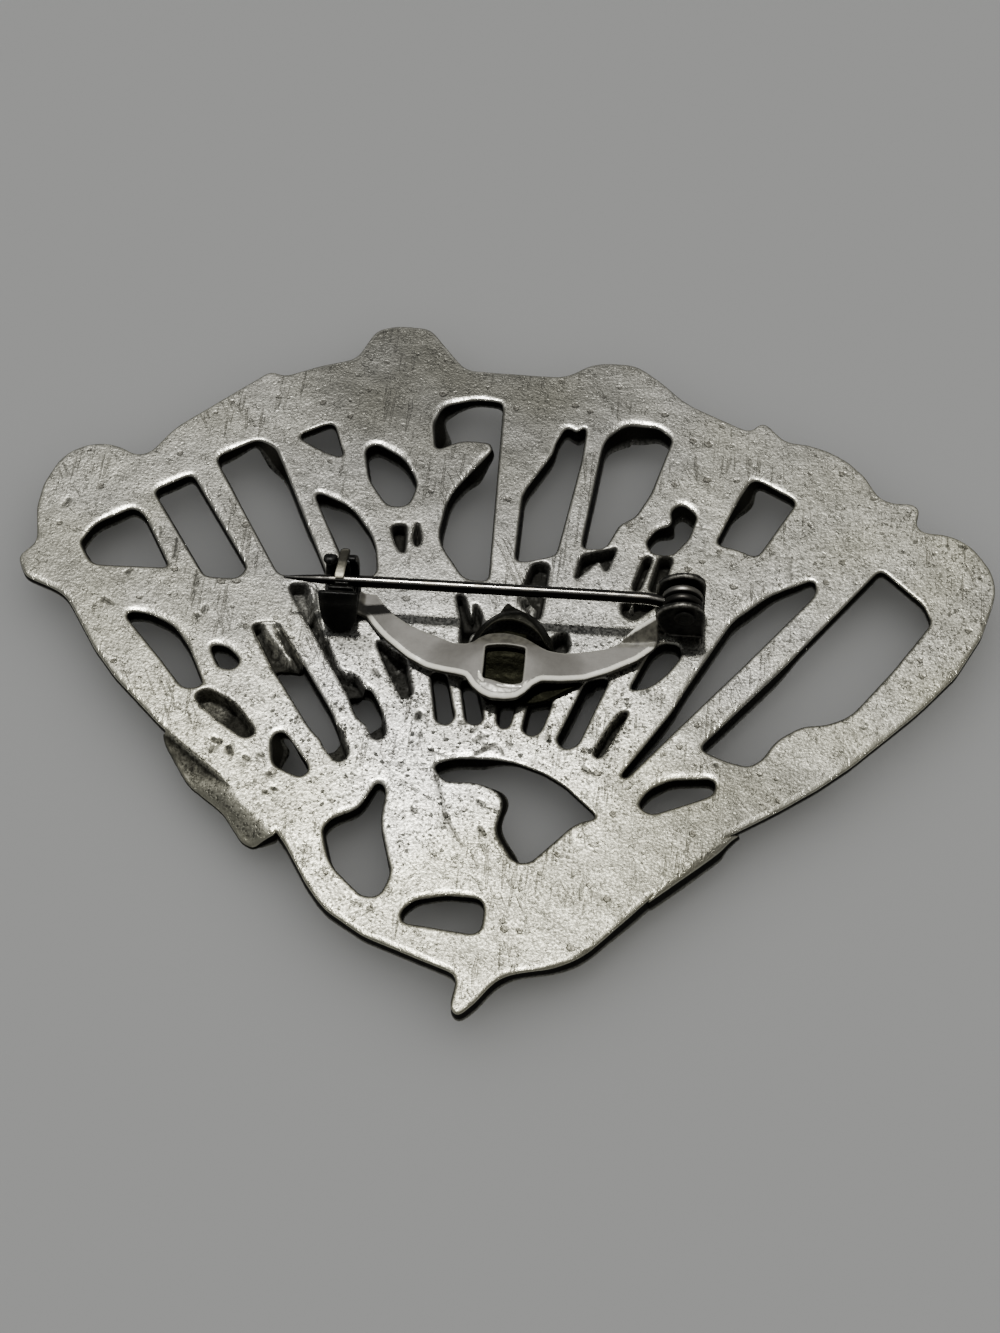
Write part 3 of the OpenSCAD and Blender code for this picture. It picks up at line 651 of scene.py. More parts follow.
def areas(flat, triangles, held, frame_tree):
    """Level of each triangle: the one that most of its own area shows, between the held edges"""
    sides = {}
    for t, f in enumerate(triangles):
        for a, b in ((f[0], f[1]), (f[1], f[2]), (f[2], f[0])):
            pair = (min(a, b), max(a, b))
            if pair not in held:
                sides.setdefault(pair, []).append(t)
    near = [[] for _ in triangles]
    for both in sides.values():
        if len(both) == 2:
            near[both[0]].append(both[1])
            near[both[1]].append(both[0])
    middle = flat[triangles].mean(1)
    seen = [seen_level(frame_tree, x, y) for x, y in middle]
    level = np.full(len(triangles), np.nan)
    done = np.zeros(len(triangles), bool)
    for start in range(len(triangles)):
        if done[start]:
            continue
        group, front = [start], [start]
        done[start] = True
        while front:
            for other in near[front.pop()]:
                if not done[other]:
                    done[other] = True
                    group.append(other)
                    front.append(other)
        votes = {}
        for t in group:
            key = None if seen[t] is None else round(seen[t], 1)
            votes[key] = votes.get(key, 0) + 1
        best = max(votes, key=votes.get)
        if best is not None:
            level[group] = best
    return level


def front_height(flat, outer_gap, wall_gap, wall_z):
    """Height of the front's underside at plan points: plate, feathers with shaft and barbs, lumps, edges"""
    local = flat - PLAN
    z = np.full(len(flat), PLATE_Z)
    for x0, y0, w0, x1, y1, w1, crest in FEATHERS:
        root, axis = np.array([x0, y0]), np.array([x1 - x0, y1 - y0])
        length = np.linalg.norm(axis)
        axis = axis / length
        along = (local - root) @ axis
        across = (local - root) @ np.array([-axis[1], axis[0]])
        reach = np.clip(along / length, 0, 1)
        width = (w0 + (w1 - w0) * reach) / 2
        past = np.maximum(np.maximum(-along, along - length), 0)
        off = np.sqrt(across ** 2 + past ** 2) / width
        rise = np.clip(1 - off ** 2, 0, 1) ** 0.6
        barbs = np.cos((along + np.abs(across) * 1.1) * 2 * math.pi / BARB_SPACING)
        shaft = np.exp(-(across / SHAFT_HALF) ** 2) * (1 - 0.6 * reach)
        body = PLATE_Z - (PLATE_Z - crest) * rise * (0.92 + 0.08 * shaft)
        body = body + BARB_RISE * (1 - barbs) * (1 - shaft) * smooth(0, 0.35, rise)
        z = np.minimum(z, np.where(off < 1, body, PLATE_Z))
    for x, y, radius, crest in LUMPS:
        off = np.linalg.norm(local - (x, y), axis=1) / radius
        z = np.minimum(z, PLATE_Z - (PLATE_Z - crest) * np.clip(1 - off ** 2, 0, 1) ** 0.7)
    thin = RIM_Z + (PLATE_Z - 0.2 - RIM_Z) * smooth(0.5 * RIM_WIDTH, 1.35 * RIM_WIDTH, outer_gap)
    rim = np.maximum(z, thin - 2.2 * smooth(0.9 * RIM_WIDTH, 2 * RIM_WIDTH, outer_gap))
    z = np.where(outer_gap < 2 * RIM_WIDTH, rim, z)
    edge = wall_z - 1.1 * smooth(0.2, 1.8, wall_gap) - 4 * smooth(1.7, 3.2, wall_gap)
    return np.clip(np.maximum(z, edge), 0.02, None)


def border_values(flat, border, rim_index, outside):
    """At each border point: metal thickness, step of the front edge into the opening, facing to the front"""
    order = {p: k for k, p in enumerate(rim_index)}
    after, before = (np.array([order[way.get(p, p)] for p in rim_index]) for way in neighbours(border))

    def eased(values, rounds):
        for _ in range(rounds):
            values = (values[after] + values + values[before]) / 3
        return values

    windows, ledges = np.array(EDGE_WALLS), np.array(LEDGES)
    place = flat[rim_index] - PLAN
    gaps = np.linalg.norm(windows[:, None, :2] - place[None], axis=2)
    wall = np.where(outside[rim_index], BACK_Z - RIM_Z, windows[gaps.argmin(0), 2])
    into = outward(flat, border)[rim_index]
    share = np.exp(-((ledges[None, :, :2] - place[:, None]) ** 2).sum(2) / ledges[:, 2] ** 2)
    step = smooth(0.15, 0.6, into[:, 0]) * LEFT_BAND * (1 + np.maximum(into[:, 1], 0))
    shift = step[:, None] * into + share @ ledges[:, 3:5]
    shift[outside[rim_index]] = 0
    return eased(wall, 30), eased(shift, 6), eased(np.clip(-into[:, 1], 0, 1), 6)


def casting_plan(source):
    """Plan of the casting: mesh, recesses and sunk tip, and distances from its edges and steps"""
    corners, polygons = [v.co / MM for v in source.vertices], [p.vertices[:] for p in source.polygons]
    tree = BVHTree.FromPolygons(corners, polygons)
    edges = level_edges(source, BACK_Z) | level_edges(source, RECESS_Z) | level_edges(source, TIP_Z)
    paths = [rounded_chain(path) for path in chains(edges)]
    flat, triangles, held = triangulate(paths, tree)
    level = areas(flat, triangles, held, tree)
    solid = ~np.isnan(level)
    flat, triangles = compact(flat, turn_up(flat, triangles[solid]))
    plate, recess, tip = (np.zeros(len(flat), bool) for _ in range(3))
    for mask, z in ((plate, BACK_Z), (recess, RECESS_Z), (tip, TIP_Z)):
        mask[triangles[np.abs(level[solid] - z) < LEVEL_ROOM].ravel()] = True

    border = border_of(triangles)
    rim_index = np.unique([p for p, _ in border])
    edge_tree = tree_of(flat[rim_index])
    nearest = np.array([edge_tree.find((x, y, 0))[1] for x, y in flat])
    outline = max(paths, key=lambda p: np.ptp(p[:, 0]))
    outer_gap = distances(tree_of(dense([outline])), flat)
    wall, shift, upper = (v[nearest] for v in border_values(flat, border, rim_index, outer_gap < 0.05))
    rim_gap = distances(tree_of(dense([flat[[p, q]] for p, q in border])), flat)
    return SimpleNamespace(
        flat=flat, triangles=triangles, border=border,
        plate=plate, in_recess=recess & ~plate, in_tip=tip & ~plate,
        rim_gap=rim_gap, outer_gap=outer_gap, by_tip=distances(tree_of(flat[tip & plate]), flat) < 1.0,
        step_gap=distances(tree_of(flat[(recess | tip) & plate]), flat), wall=wall, upper=upper,
        shift=shift * (1 - smooth(0, 1.6, rim_gap))[:, None], ridge=ridge_rise(flat),
        low=smooth(*TIP_ROLL, flat[:, 1] - PLAN[1]))


def bevel_width(c):
    """Width of the worn bevel along each edge, wider on walls that face the front and on thick ones"""
    spread = BEVEL_WIDTH * (0.6 + 0.9 * c.upper) * (1 + 0.4 * noise_at(c.flat, 1.9, 9.0))
    return spread * np.where(c.outer_gap < 1, 1, 0.25 + 0.75 * smooth(0.6, 1.4, c.wall))


def back_height(c, spread, dent):
    """Height of the back: swells, worn edges, dents, blind recesses with ridges, and the sunk tip"""
    inside = np.clip(1 - c.rim_gap / CORNER, 0, 1)
    drop = CORNER * (1 - np.sqrt(1 - inside ** 2)) + BEVEL_SLOPE * np.maximum(spread - c.rim_gap, 0)
    lip = np.clip(1 - c.step_gap / LIP_WIDTH, 0, 1)
    lip[c.by_tip] *= c.low[c.by_tip]
    swell = sum(high * noise_at(c.flat, size, seed) for size, seed, high in SWELLS)
    back = BACK_Z - 0.03 + swell - drop - dent - np.where(c.plate, LIP_DROP * lip ** 2, 0)
    depth = (BACK_Z - RECESS_Z) * (1.1 + 0.3 * noise_at(c.flat, 1.6, 12.0))
    depth = depth + 0.15 * noise_at(c.flat, 0.5, 15.0)
    sunk = (0.1 + depth * smooth(0, 0.22, c.step_gap)) * (1 - 0.85 * c.ridge)
    tip_drop = BACK_Z - TIP_Z + 0.3 * smooth(0, 2, c.step_gap) + 0.1 * noise_at(c.flat, 0.8, 21.0)
    tip_share = c.low * smooth(0, 0.25, c.step_gap) + (1 - c.low) * smooth(0, 2.4, c.step_gap)
    return back - np.where(c.in_recess, sunk, 0) - np.where(c.in_tip, tip_drop * tip_share, 0)


def back_patina_and_shade(c, dark):
    """Share of dark colour on the back: oxide in the recesses, over the sunk tip and in the dents, with
    painted shade by the tip's step, under the catch and as a dark line along edges that face away from the
    front
    """
    flecks = smooth(0.25, 0.5, noise_at(c.flat, 0.35, 17.0)) * smooth(0, 0.3, noise_at(c.flat, 1.3, 18.0))
    bottom = 0.97 - 0.35 * flecks
    for x, y, across, along, share in PALE_PLACES:
        away = np.linalg.norm((c.flat - PLAN - (x, y)) / (across, along), axis=1)
        bottom = bottom - share * smooth(1.2, 0.7, away)
    bottom = bottom * smooth(0.0, 0.1, c.step_gap) * (1 - 0.92 * c.ridge)
    mottle = 0.14 * noise_at(c.flat, 0.5, 40.0)
    # Painted shade: the sunk tip is darkest by its step under the plate's edge and lighter away from it.
    tip = c.low * smooth(0, 0.15, c.step_gap) * (0.86 - 0.42 * smooth(0.5, 2.4, c.step_gap) + mottle)
    tip = tip + (1 - c.low) * smooth(0.2, 2.0, c.step_gap) * (0.4 + 1.5 * mottle)
    hidden = np.where(c.in_tip, tip, np.where(c.in_recess, bottom, 0))
    # Painted shade: a dark line along the edges that face away from the front, fainter on the outer edge.
    line = smooth(0.27, 0.13, c.rim_gap) * (1 - smooth(0.1, 0.5, c.upper))
    line = line * np.where(c.outer_gap < 1, 0.5, 0.9)
    return np.maximum(hidden, np.maximum(dark, line))


def casting_piece(material):
    """The pierced casting as one closed skin: back, front and the walls between them"""
    c = casting_plan(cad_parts["casting"].data)
    count = len(c.flat)
    dent, dark = dent_depth(c.flat)
    spread = bevel_width(c)
    back = back_height(c, spread, dent)
    front = np.minimum(front_height(c.flat, c.outer_gap, c.rim_gap, BACK_Z - c.wall), back - LEAST_THICK)
    bend = np.column_stack([np.zeros(count), 0.75 * 0.05 * noise_at(c.flat, 0.7, 30.0)])
    verts, faces = closed_skin(c.flat, c.triangles, c.border, back, front, WALL_ROWS, c.shift, bend)
    tone, warmth = tone_at(c.flat)
    tone = tone + 0.08 * noise_at(c.flat, 3.5, 76.0)
    warmth = np.clip(warmth + 0.3 * noise_at(c.flat, 5.0, 77.0), 0, 1)

    def layer(on_back, on_front, on_walls):
        """Point values of the back, the front and the walls"""
        walls = np.full(len(verts) - 2 * count, on_walls)
        return np.concatenate([on_back, np.broadcast_to(on_front, count), walls])

    return mesh_object("pewter_casting", verts, faces, material, {
        # The walls are painted near black: oxide and painted shade.
        "patina_and_shade": layer(back_patina_and_shade(c, dark), 0.0, 1.0),
        # Pale colour on the rim bevels: worn metal and a painted highlight, widest on the edges that face
        # the front.
        "wear_and_highlight": layer(smooth(spread + 0.06, spread - 0.06, c.rim_gap), 0.0, 0.0),
        "tone": layer(tone, 0.4, 0.2),
        "warmth": layer(warmth, warmth, 0.5)})


# Strip

STRIP_OUTLINE = [
    [-12.15, 3.85], [-11.6, 4], [-11.35, 3.85], [-10.85, 3.15], [-10.05, 2.1], [-9.3, 1.3],
    [-8.35, 0.45], [-7.5, -0.25], [-6, -1.1], [-4.45, -1.65], [-3.3, -2], [-2.65, -2.25],
    [-2.05, -3.15], [-1.35, -3.8], [-0.5, -4.2], [0.7, -4.25], [1.6, -4.05], [2.2, -3.55],
    [2.85, -2.75], [3.5, -2.25], [5, -1.95], [7, -1.4], [8.85, -0.6], [11.15, 0.75], [12.3, 1.8],
    [12.75, 2.4], [12.8, 4.4], [12.3, 4.25], [11.5, 3.8], [10.8, 3.4], [9.7, 2.3], [8.7, 1.65],
    [7.3, 1.3], [6.5, 1.15], [5.3, 0.85], [4.5, 0.8], [3.8, 0.85], [3.3, 1.1], [2.75, 1.5],
    [2.15, 1.95], [1.5, 2.3], [0.8, 2.5], [0.05, 2.55], [-0.6, 2.5], [-1.3, 2.3], [-1.9, 1.8],
    [-2.3, 1.3], [-2.85, 1.1], [-3.7, 1.2], [-4.7, 1.65], [-6.25, 2.25], [-7.8, 2.95], [-8.95, 3.75],
    [-10, 4.9], [-10.6, 5.9], [-11.5, 6.1], [-12.1, 5.95]
]
STRIP_WINDOW = [
    [-1.25, 0.7], [-1.05, 0.85], [-0.3, 0.98], [0.4, 1.02], [1.2, 0.96], [1.9, 0.84], [2.05, 0.7],
    [2.05, -1], [2, -2.6], [1.85, -2.8], [1.2, -2.95], [0.4, -2.9], [-0.5, -2.6], [-1.15, -2.5],
    [-1.28, -2.3], [-1.25, -1]
]
BOSS_PLACE = np.array([0.4, -0.9])
BOSS_RISE = 0.88
STRIP_TOP = 1.1
STRIP_THICK = 0.55
STRIP_SLOPE = 0.15
FOLD_Y = 2.28


def faces_front(points, gap):
    """Share of the strip's lower rim band at plan points"""
    local = points - PLAN
    middle = np.interp(local[:, 0], (-11.6, -7.5, -4, -2.2, -1, 2, 3.4, 6, 9, 12.8),
                       (5, 1.3, -0.2, -0.6, -3.1, -3.1, -0.6, -0.2, 0.5, 2.4))
    return np.where(local[:, 1] < middle, smooth(0.4, 0.33, gap), 0)


def fold_place(local):
    """Distance past the line of the fold by the hinge, and the room behind that line"""
    past = local[:, 1] - FOLD_Y - 0.11 * (local[:, 0] - 9.7)
    return past, np.maximum(0.56 * (local[:, 0] - 9.4), 0.05)


def strip_height(points, gap):
    """Top of the strip: nearly flat, a bulge at the boss, a fold up to the hinge, a bevelled lower rim"""
    local = points - PLAN
    away = local - BOSS_PLACE
    reach = np.sqrt((away[:, 0] / 7.0) ** 2 + (away[:, 1] / np.where(away[:, 1] > 0, 4.0, 7.5)) ** 2)
    bulge = BOSS_RISE * (1 - smooth(0.3, 1.0, reach))
    past, room = fold_place(local)
    share = np.clip(past / room, 0, 1.1)
    fold = 0.9 * room * (share - 1.34 * np.maximum(share - 0.72, 0) ** 2) * (local[:, 0] > 9.3)
    tab = 0.5 * smooth(-11.5, -12.2, local[:, 0])
    droop = 0.4 * smooth(-8.5, -11.6, local[:, 0])
    bevel = np.where(faces_front(points, gap) > 0, STRIP_SLOPE * np.maximum(BAND_RINGS[-1] - gap, 0), 0)
    return BACK_Z + STRIP_TOP + bulge + fold + tab - droop - bevel + 0.012 * noise_at(points, 1.2, 50.0)


def strip_stain_and_shade(points, gap):
    """Mottled tarnish behind the boss, painted shade on the fold by the hinge, and darker colour on the end
    by the catch
    """
    local = points - PLAN
    arch = smooth(0.75, 1.5, local[:, 1]) * smooth(3.9, 2.6, np.abs(local[:, 0] - 0.3))
    past, room = fold_place(local)
    # Painted shade on the rising fold by the hinge.
    fold = 0.85 * smooth(-0.6, -0.4, past) * smooth(9.2, 9.8, local[:, 0]) * smooth(0.85, 0.7, past / room)
    end = 0.7 * smooth(-11.55, -11.7, local[:, 0]) * smooth(4.6, 5.0, local[:, 1]) * smooth(0.1, 0.25, gap)
    return np.maximum(np.maximum(arch * (0.75 + 0.35 * noise_at(points, 0.35, 52.0)), end), fold)


def polish_and_highlight(points, gap):
    """Painted highlight, partly worn metal: along the strip's lower rim, on the slope below the window and
    at the tip of the fold by the hinge
    """
    local = points - PLAN
    slope = smooth(-2.65, -2.9, local[:, 1]) * (0.5 + 0.9 * noise_at(points, 0.3, 54.0))
    slope = slope * smooth(0.46, 0.52, gap)
    past, room = fold_place(local)
    tip = smooth(0.74, 0.84, past / room) * (local[:, 0] > 10.2)
    band = faces_front(points, gap) * smooth(-11.4, -10.6, local[:, 0])
    return np.clip(np.maximum(np.maximum(band, slope), tip), 0, 1)


def strip_pieces(material):
    # The strip's walls are painted dark: the shade line under its rim.
    body = sheet("strip_sheet", material, (placed(STRIP_OUTLINE), 2), [(placed(STRIP_WINDOW), 1)],
                 strip_height, STRIP_THICK, 0.09, 0.2, values={"stain_and_shade": strip_stain_and_shade, "polish_and_highlight": polish_and_highlight},
                 sides={"wear_and_highlight": 0.2, "stain_and_shade": 0.9})
    fixed(body, "brooch", "strip")


# Bail

HOOD_FOOT = [
    [-2.85, 1.6], [-2.2, 3.1], [-1.6, 3.95], [-1, 4.6], [-0.4, 5.15], [-0.1, 5.9], [0.2, 6.4],
    [0.65, 6], [1.25, 5.6], [2.1, 5.1], [3, 4.35], [3.6, 3.5], [4.05, 2.7], [4.4, 1.5], [3.7, 1.3],
    [3.1, 2.1], [2.4, 2.75], [1.6, 3.25], [0.8, 3.45], [0, 3.4], [-0.8, 3], [-1.5, 2.35], [-2, 1.6]
]
TONGUE = [
    [-1.8, -2.6], [-0.8, -3.7], [0.6, -4.15], [1.8, -3.85], [2.7, -3.75], [3.9, -3.4], [4.7, -2.9],
    [5.6, -2.25], [6.9, -1.5], [5.5, -0.4], [4.4, 1.5], [3.5, 2.5], [0.4, 3], [-1.8, 2.4], [-2.6, 0.5],
    [-2.5, -1.4]
]


def hood_height(points, _):
    """Low hood that rises from its outer foot to a ridge near the boss"""
    local = points - PLAN
    reach = np.linalg.norm((local - (0.9, 0.6)) / (3.55, 4.9), axis=1)
    peak = np.exp(-((local[:, 0] - 0.2) / 0.5) ** 2) * smooth(4.8, 6.4, local[:, 1])
    return BACK_Z + 0.25 + 1.6 * smooth(1.06, 0.68, reach) - 0.1 * peak + 0.03 * noise_at(points, 0.6, 60.0)


def tongue_height(points, _):
    """Flat tongue with a soft streak by its lower edge and two thin ridges under the boss window"""
    local = points - PLAN
    streak = np.exp(-(((local[:, 0] - 3.1) * 0.61 - (local[:, 1] + 2.9) * 0.79) / 0.35) ** 2)
    bend = local[:, 1] + 0.06 * (local[:, 0] - 0.4) ** 2
    ends = smooth(1.3, 0.7, np.abs(local[:, 0] - 0.3))
    ridges = np.exp(-((bend - 0.42) / 0.13) ** 2) + np.exp(-((bend + 0.18) / 0.11) ** 2)
    lift = 0.65 * smooth(-1.4, 0.9, local[:, 1]) * smooth(2.4, 1.6, np.abs(local[:, 0] - 0.4))
    lift = lift + 0.06 * streak * (local[:, 1] < -1.5) + 0.06 * ridges * ends
    return BACK_Z + 0.4 + lift + 0.01 * noise_at(points, 0.9, 62.0)


def bail_pieces(hood_brass, tongue_brass):
    hood = sheet("bail_hood", hood_brass, (placed(HOOD_FOOT), 1), [], hood_height, 0.24, 0.1, 0.2)
    tongue = sheet("bail_tongue", tongue_brass, (placed(TONGUE), 2), [], tongue_height, 0.38, 0.12, 0.2)
    for piece in (hood, tongue):
        fixed(piece, "brooch", "bail")


# Hinge, rivet and pin

PIN_Y, PIN_RISE, HINGE_X = 5.1, 3.7, 14.8
PIN_AXIS = np.array([0, PIN_Y, PIN_RISE]) + (PLAN[0], PLAN[1], BACK_Z)
EAR_SHAPE = [
    [-2.35, 0.05], [-2.38, 3.3], [-2.25, 3.9], [-1.9, 4.5], [-1.35, 4.93], [-0.7, 5.2], [-0.1, 5.3],
    [0.55, 5.22], [1.1, 4.95], [1.5, 4.5], [1.66, 3.9], [1.68, 3.2], [1.65, 0.05]
]
EAR_FRONT = [
    [-1.3, 1.1], [-1.75, 1.65], [-2.15, 2.5], [-2.35, 3.3], [-2.25, 3.95], [-1.9, 4.5], [-1.35, 4.93],
    [-0.7, 5.2], [-0.1, 5.3], [0.55, 5.22], [1.1, 4.95], [1.5, 4.5], [1.66, 3.9], [1.68, 3.2],
    [1.66, 1.1]
]
HINGE_BASE = [[-2.2, -0.75], [1.6, -0.75], [1.6, 1.7], [-2.2, 1.7]]
# Columns: place along Y, radius, share of the pale rim colour (worn metal and painted highlight)
RIVET = [
    (-2.01, 0.04, 0), (-2.0, 0.3, 0), (-1.98, 0.42, 0.6), (-1.93, 0.5, 0), (-1.97, 0.62, 0.3),
    (-1.93, 0.8, 0.6), (-1.82, 0.88, 0.2), (-1.72, 0.86, 0), (-1.7, 0.58, 0), (1.7, 0.58, 0),
    (1.72, 0.86, 0), (1.86, 0.88, 0.4), (1.96, 0.75, 0), (2.0, 0.3, 0)
]


def ear_place(face_y):
    """Stands a flat plate up so that its face looks to the front edge at the given place along Y"""
    def place(verts):
        x, y, z = verts[:, 0], verts[:, 1], verts[:, 2]
        return np.stack([x + HINGE_X + PLAN[0], PIN_AXIS[1] + face_y - z, y + BACK_Z], 1)
    return place


def ear_rings(points, _):
    """Face of an ear with faint rings pressed around the rivet"""
    reach = np.linalg.norm(points - (0, PIN_RISE), axis=1)
    return 0.03 * np.exp(-((reach - 1.35) / 0.13) ** 2) - 0.02 * np.exp(-((reach - 1.1) / 0.1) ** 2)


def hinge_pieces(steel, rivet_steel):
    """Two ears on a base, with a foot, a spine and a seam, and the rivet through the ears"""
    centre = PLAN + (HINGE_X, PIN_Y)
    parts = [
        sheet("hinge_front_ear", steel, (EAR_FRONT, 1), [], ear_rings, 0.5, 0.12, 0.16, ear_place(-1.7),
              sides={"wear_and_highlight": 0.1}),
        sheet("hinge_back_ear", steel, (EAR_SHAPE, 1), [], lambda p, _: np.zeros(len(p)), 0.5, 0.13, 0.2,
              ear_place(1.2), sides={"wear_and_highlight": 0.1}),
        sheet("hinge_base", steel, (placed(HINGE_BASE, centre), 2), [],
              lambda p, _: np.full(len(p), BACK_Z + 0.5), 0.5, 0.1, 0.3)]
    # The seam is pale all along: a painted highlight on a thin ridge.
    for name, line, halves, square, rounds, wear_and_highlight in (
            ("hinge_foot", [(x, -0.8, 0.75) for x in (-1.25, 0, 1.6)], (0.75, 0.16), 7, 20, np.zeros_like),
            ("hinge_spine", [(1.48, y, 1.6) for y in (-1.25, 0, 1.25)], (1.15, 0.2), 7, 20, np.zeros_like),
            ("hinge_seam", [(x, -1.75, 1.15) for x in (-1.2, 0, 1.6)], (0.08, 0.08), 2, 12, np.ones_like)):
        path = [(centre[0] + x, centre[1] + y, BACK_Z + z) for x, y, z in line]
        parts.append(sweep(name, steel, path, [halves] * 3, (0, 0, 1), square, rounds,
                           values={"wear_and_highlight": wear_and_highlight}))
    for piece in parts:
        fixed(piece, "brooch", "hinge_bracket")
    rivet = revolve("hinge_rivet", rivet_steel, PIN_AXIS + (HINGE_X, 0, 0), RIVET)
    fixed(rivet, "brooch", "rivet")


# Columns: place along the pin, lift, radius
STEM = [
    (-18.2, 0, 0.06), (-18.1, 0, 0.1), (-17.6, 0, 0.17), (-16.6, 0, 0.27), (-15.2, 0, 0.38),
    (-13.4, 0, 0.46), (-11.8, 0, 0.5), (-8, 0, 0.5), (-4, 0, 0.5), (0, 0, 0.5), (4, 0, 0.5),
    (8, 0, 0.5), (11.6, 0, 0.5), (12.3, -0.03, 0.5), (12.9, -0.1, 0.5), (13.4, -0.15, 0.5),
    (13.8, -0.15, 0.46)
]


def underside(angles):
    """Painted shade on a wire's lower and front side and along its back edge, leaving a narrow highlight
    band; angles from its back edge upwards
    """
    a = np.degrees(angles)
    edge = smooth(106, 96, a) + smooth(290, 320, a)
    return np.maximum(smooth(118, 130, a) * smooth(320, 270, a), 0.75 * edge)


# Painted shade on the eye's turns: the back turn dark below and in front, the front turn nearly dark all
# round.
EYE_PAINTED_SHADE = (lambda a: np.maximum(0.15, smooth(108, 128, np.degrees(a)) * smooth(350, 330, np.degrees(a))),
              lambda a: np.maximum(0.9, smooth(118, 140, np.degrees(a))))
EYE_STEPS = 64


def pin_pieces(material):
    """Round wire with a long point, and an eye of two turns around the rivet"""
    centres = [PIN_AXIS + (x, -0.2 * smooth(11.0, 13.4, np.array(x)), lift) for x, lift, _ in STEM]
    stem = sweep("pin_stem", material, centres, [(r, r) for _, _, r in STEM], (0, 1, 0), 2, 48,
                 values={"stain_and_shade": underside, "wear_and_highlight": np.zeros_like})
    fixed(stem, "pin", "pin")
    centre = PIN_AXIS + (HINGE_X - 0.2, 0, 0)
    angles = -np.arange(EYE_STEPS) * 2 * math.pi / EYE_STEPS
    for k, (offset, reach, wire) in enumerate(((0.08, 1.3, 0.4), (-0.68, 1.28, 0.38))):
        turn = [centre + (reach * math.cos(a), offset, reach * math.sin(a)) for a in angles]
        coil = sweep(f"pin_eye_{k}", material, turn, [(wire, wire)] * EYE_STEPS, (0, 1, 0), 2.2, 20,
                     closed=True, values={"stain_and_shade": EYE_PAINTED_SHADE[k], "wear_and_highlight": np.ones_like})
        fixed(coil, "pin", "pin")


# Catch

CATCH_X, LEVER_X = -13.5, -13.32
ALONG_X = (1, 0, 0)
# Front wall below its rounded part; columns: y, z from the pin's axis
FRONT_WALL = [
    (-1.98, -1.0), (-2.06, -1.6), (-2.16, -2.2), (-2.28, -2.75), (-2.4, -3.2), (-2.48, -3.45),
    (-2.52, -3.6)
]
FRONT_WIDTHS = [1.5, 1.58] + [1.6] * 12 + [1.58, 1.53, 1.44, 1.28, 1.0, 0.7, 0.35]
CATCH_FOOT = [
    [-1.4, 2.0], [1.4, 2.0], [1.4, -1.2], [1.1, -1.9], [0.6, -2.3], [-0.6, -2.3], [-1.1, -1.9],
    [-1.4, -1.2]
]
# Bent pieces; columns: angle, radius, x, half width along X, half thickness
KNOB = [
    (-14, 1.85, -14.1, 0.34, 0.24), (8, 1.85, -14.15, 0.33, 0.24), (30, 1.8, -14.2, 0.36, 0.26),
    (44, 1.8, -14.3, 0.5, 0.34), (52, 1.84, -14.33, 0.58, 0.38), (62, 1.83, -14.34, 0.57, 0.37),
    (72, 1.79, -14.34, 0.42, 0.28), (78, 1.76, -14.34, 0.15, 0.1)
]
ARM = [
    (-14, 1.78, -12.5, 0.42, 0.25), (8, 1.82, -12.5, 0.4, 0.25), (30, 1.88, -12.52, 0.36, 0.25),
    (50, 1.95, -12.54, 0.34, 0.25), (62, 1.98, -12.55, 0.32, 0.2), (68, 2.0, -12.56, 0.27, 0.1)
]
# Lever, which leans along X as it goes out; columns: angle, radius, half width, half thickness
LEVER = [
    (112, 0.66, 0.3, 0.06), (98, 0.68, 0.36, 0.09), (82, 0.72, 0.38, 0.1), (70, 0.84, 0.38, 0.12),
    (58, 1.1, 0.38, 0.14), (49, 1.5, 0.4, 0.16), (44.5, 1.9, 0.42, 0.17), (42.5, 2.2, 0.43, 0.18),
    (41.5, 2.42, 0.42, 0.18), (41.5, 2.56, 0.34, 0.15), (41.5, 2.64, 0.18, 0.07)
]


def around(angle, radius, x=CATCH_X):
    """Place in the catch's cross-section, at an angle from Y towards Z"""
    a = math.radians(angle)
    return PIN_AXIS + (x, radius * math.cos(a), radius * math.sin(a))


def bent(name, material, rows, square):
    """Bent piece of the catch, from rows of angle, radius, x, half width and half thickness"""
    return sweep(name, material, [around(*row[:3]) for row in rows], [row[3:] for row in rows], ALONG_X,
                 square, 24)


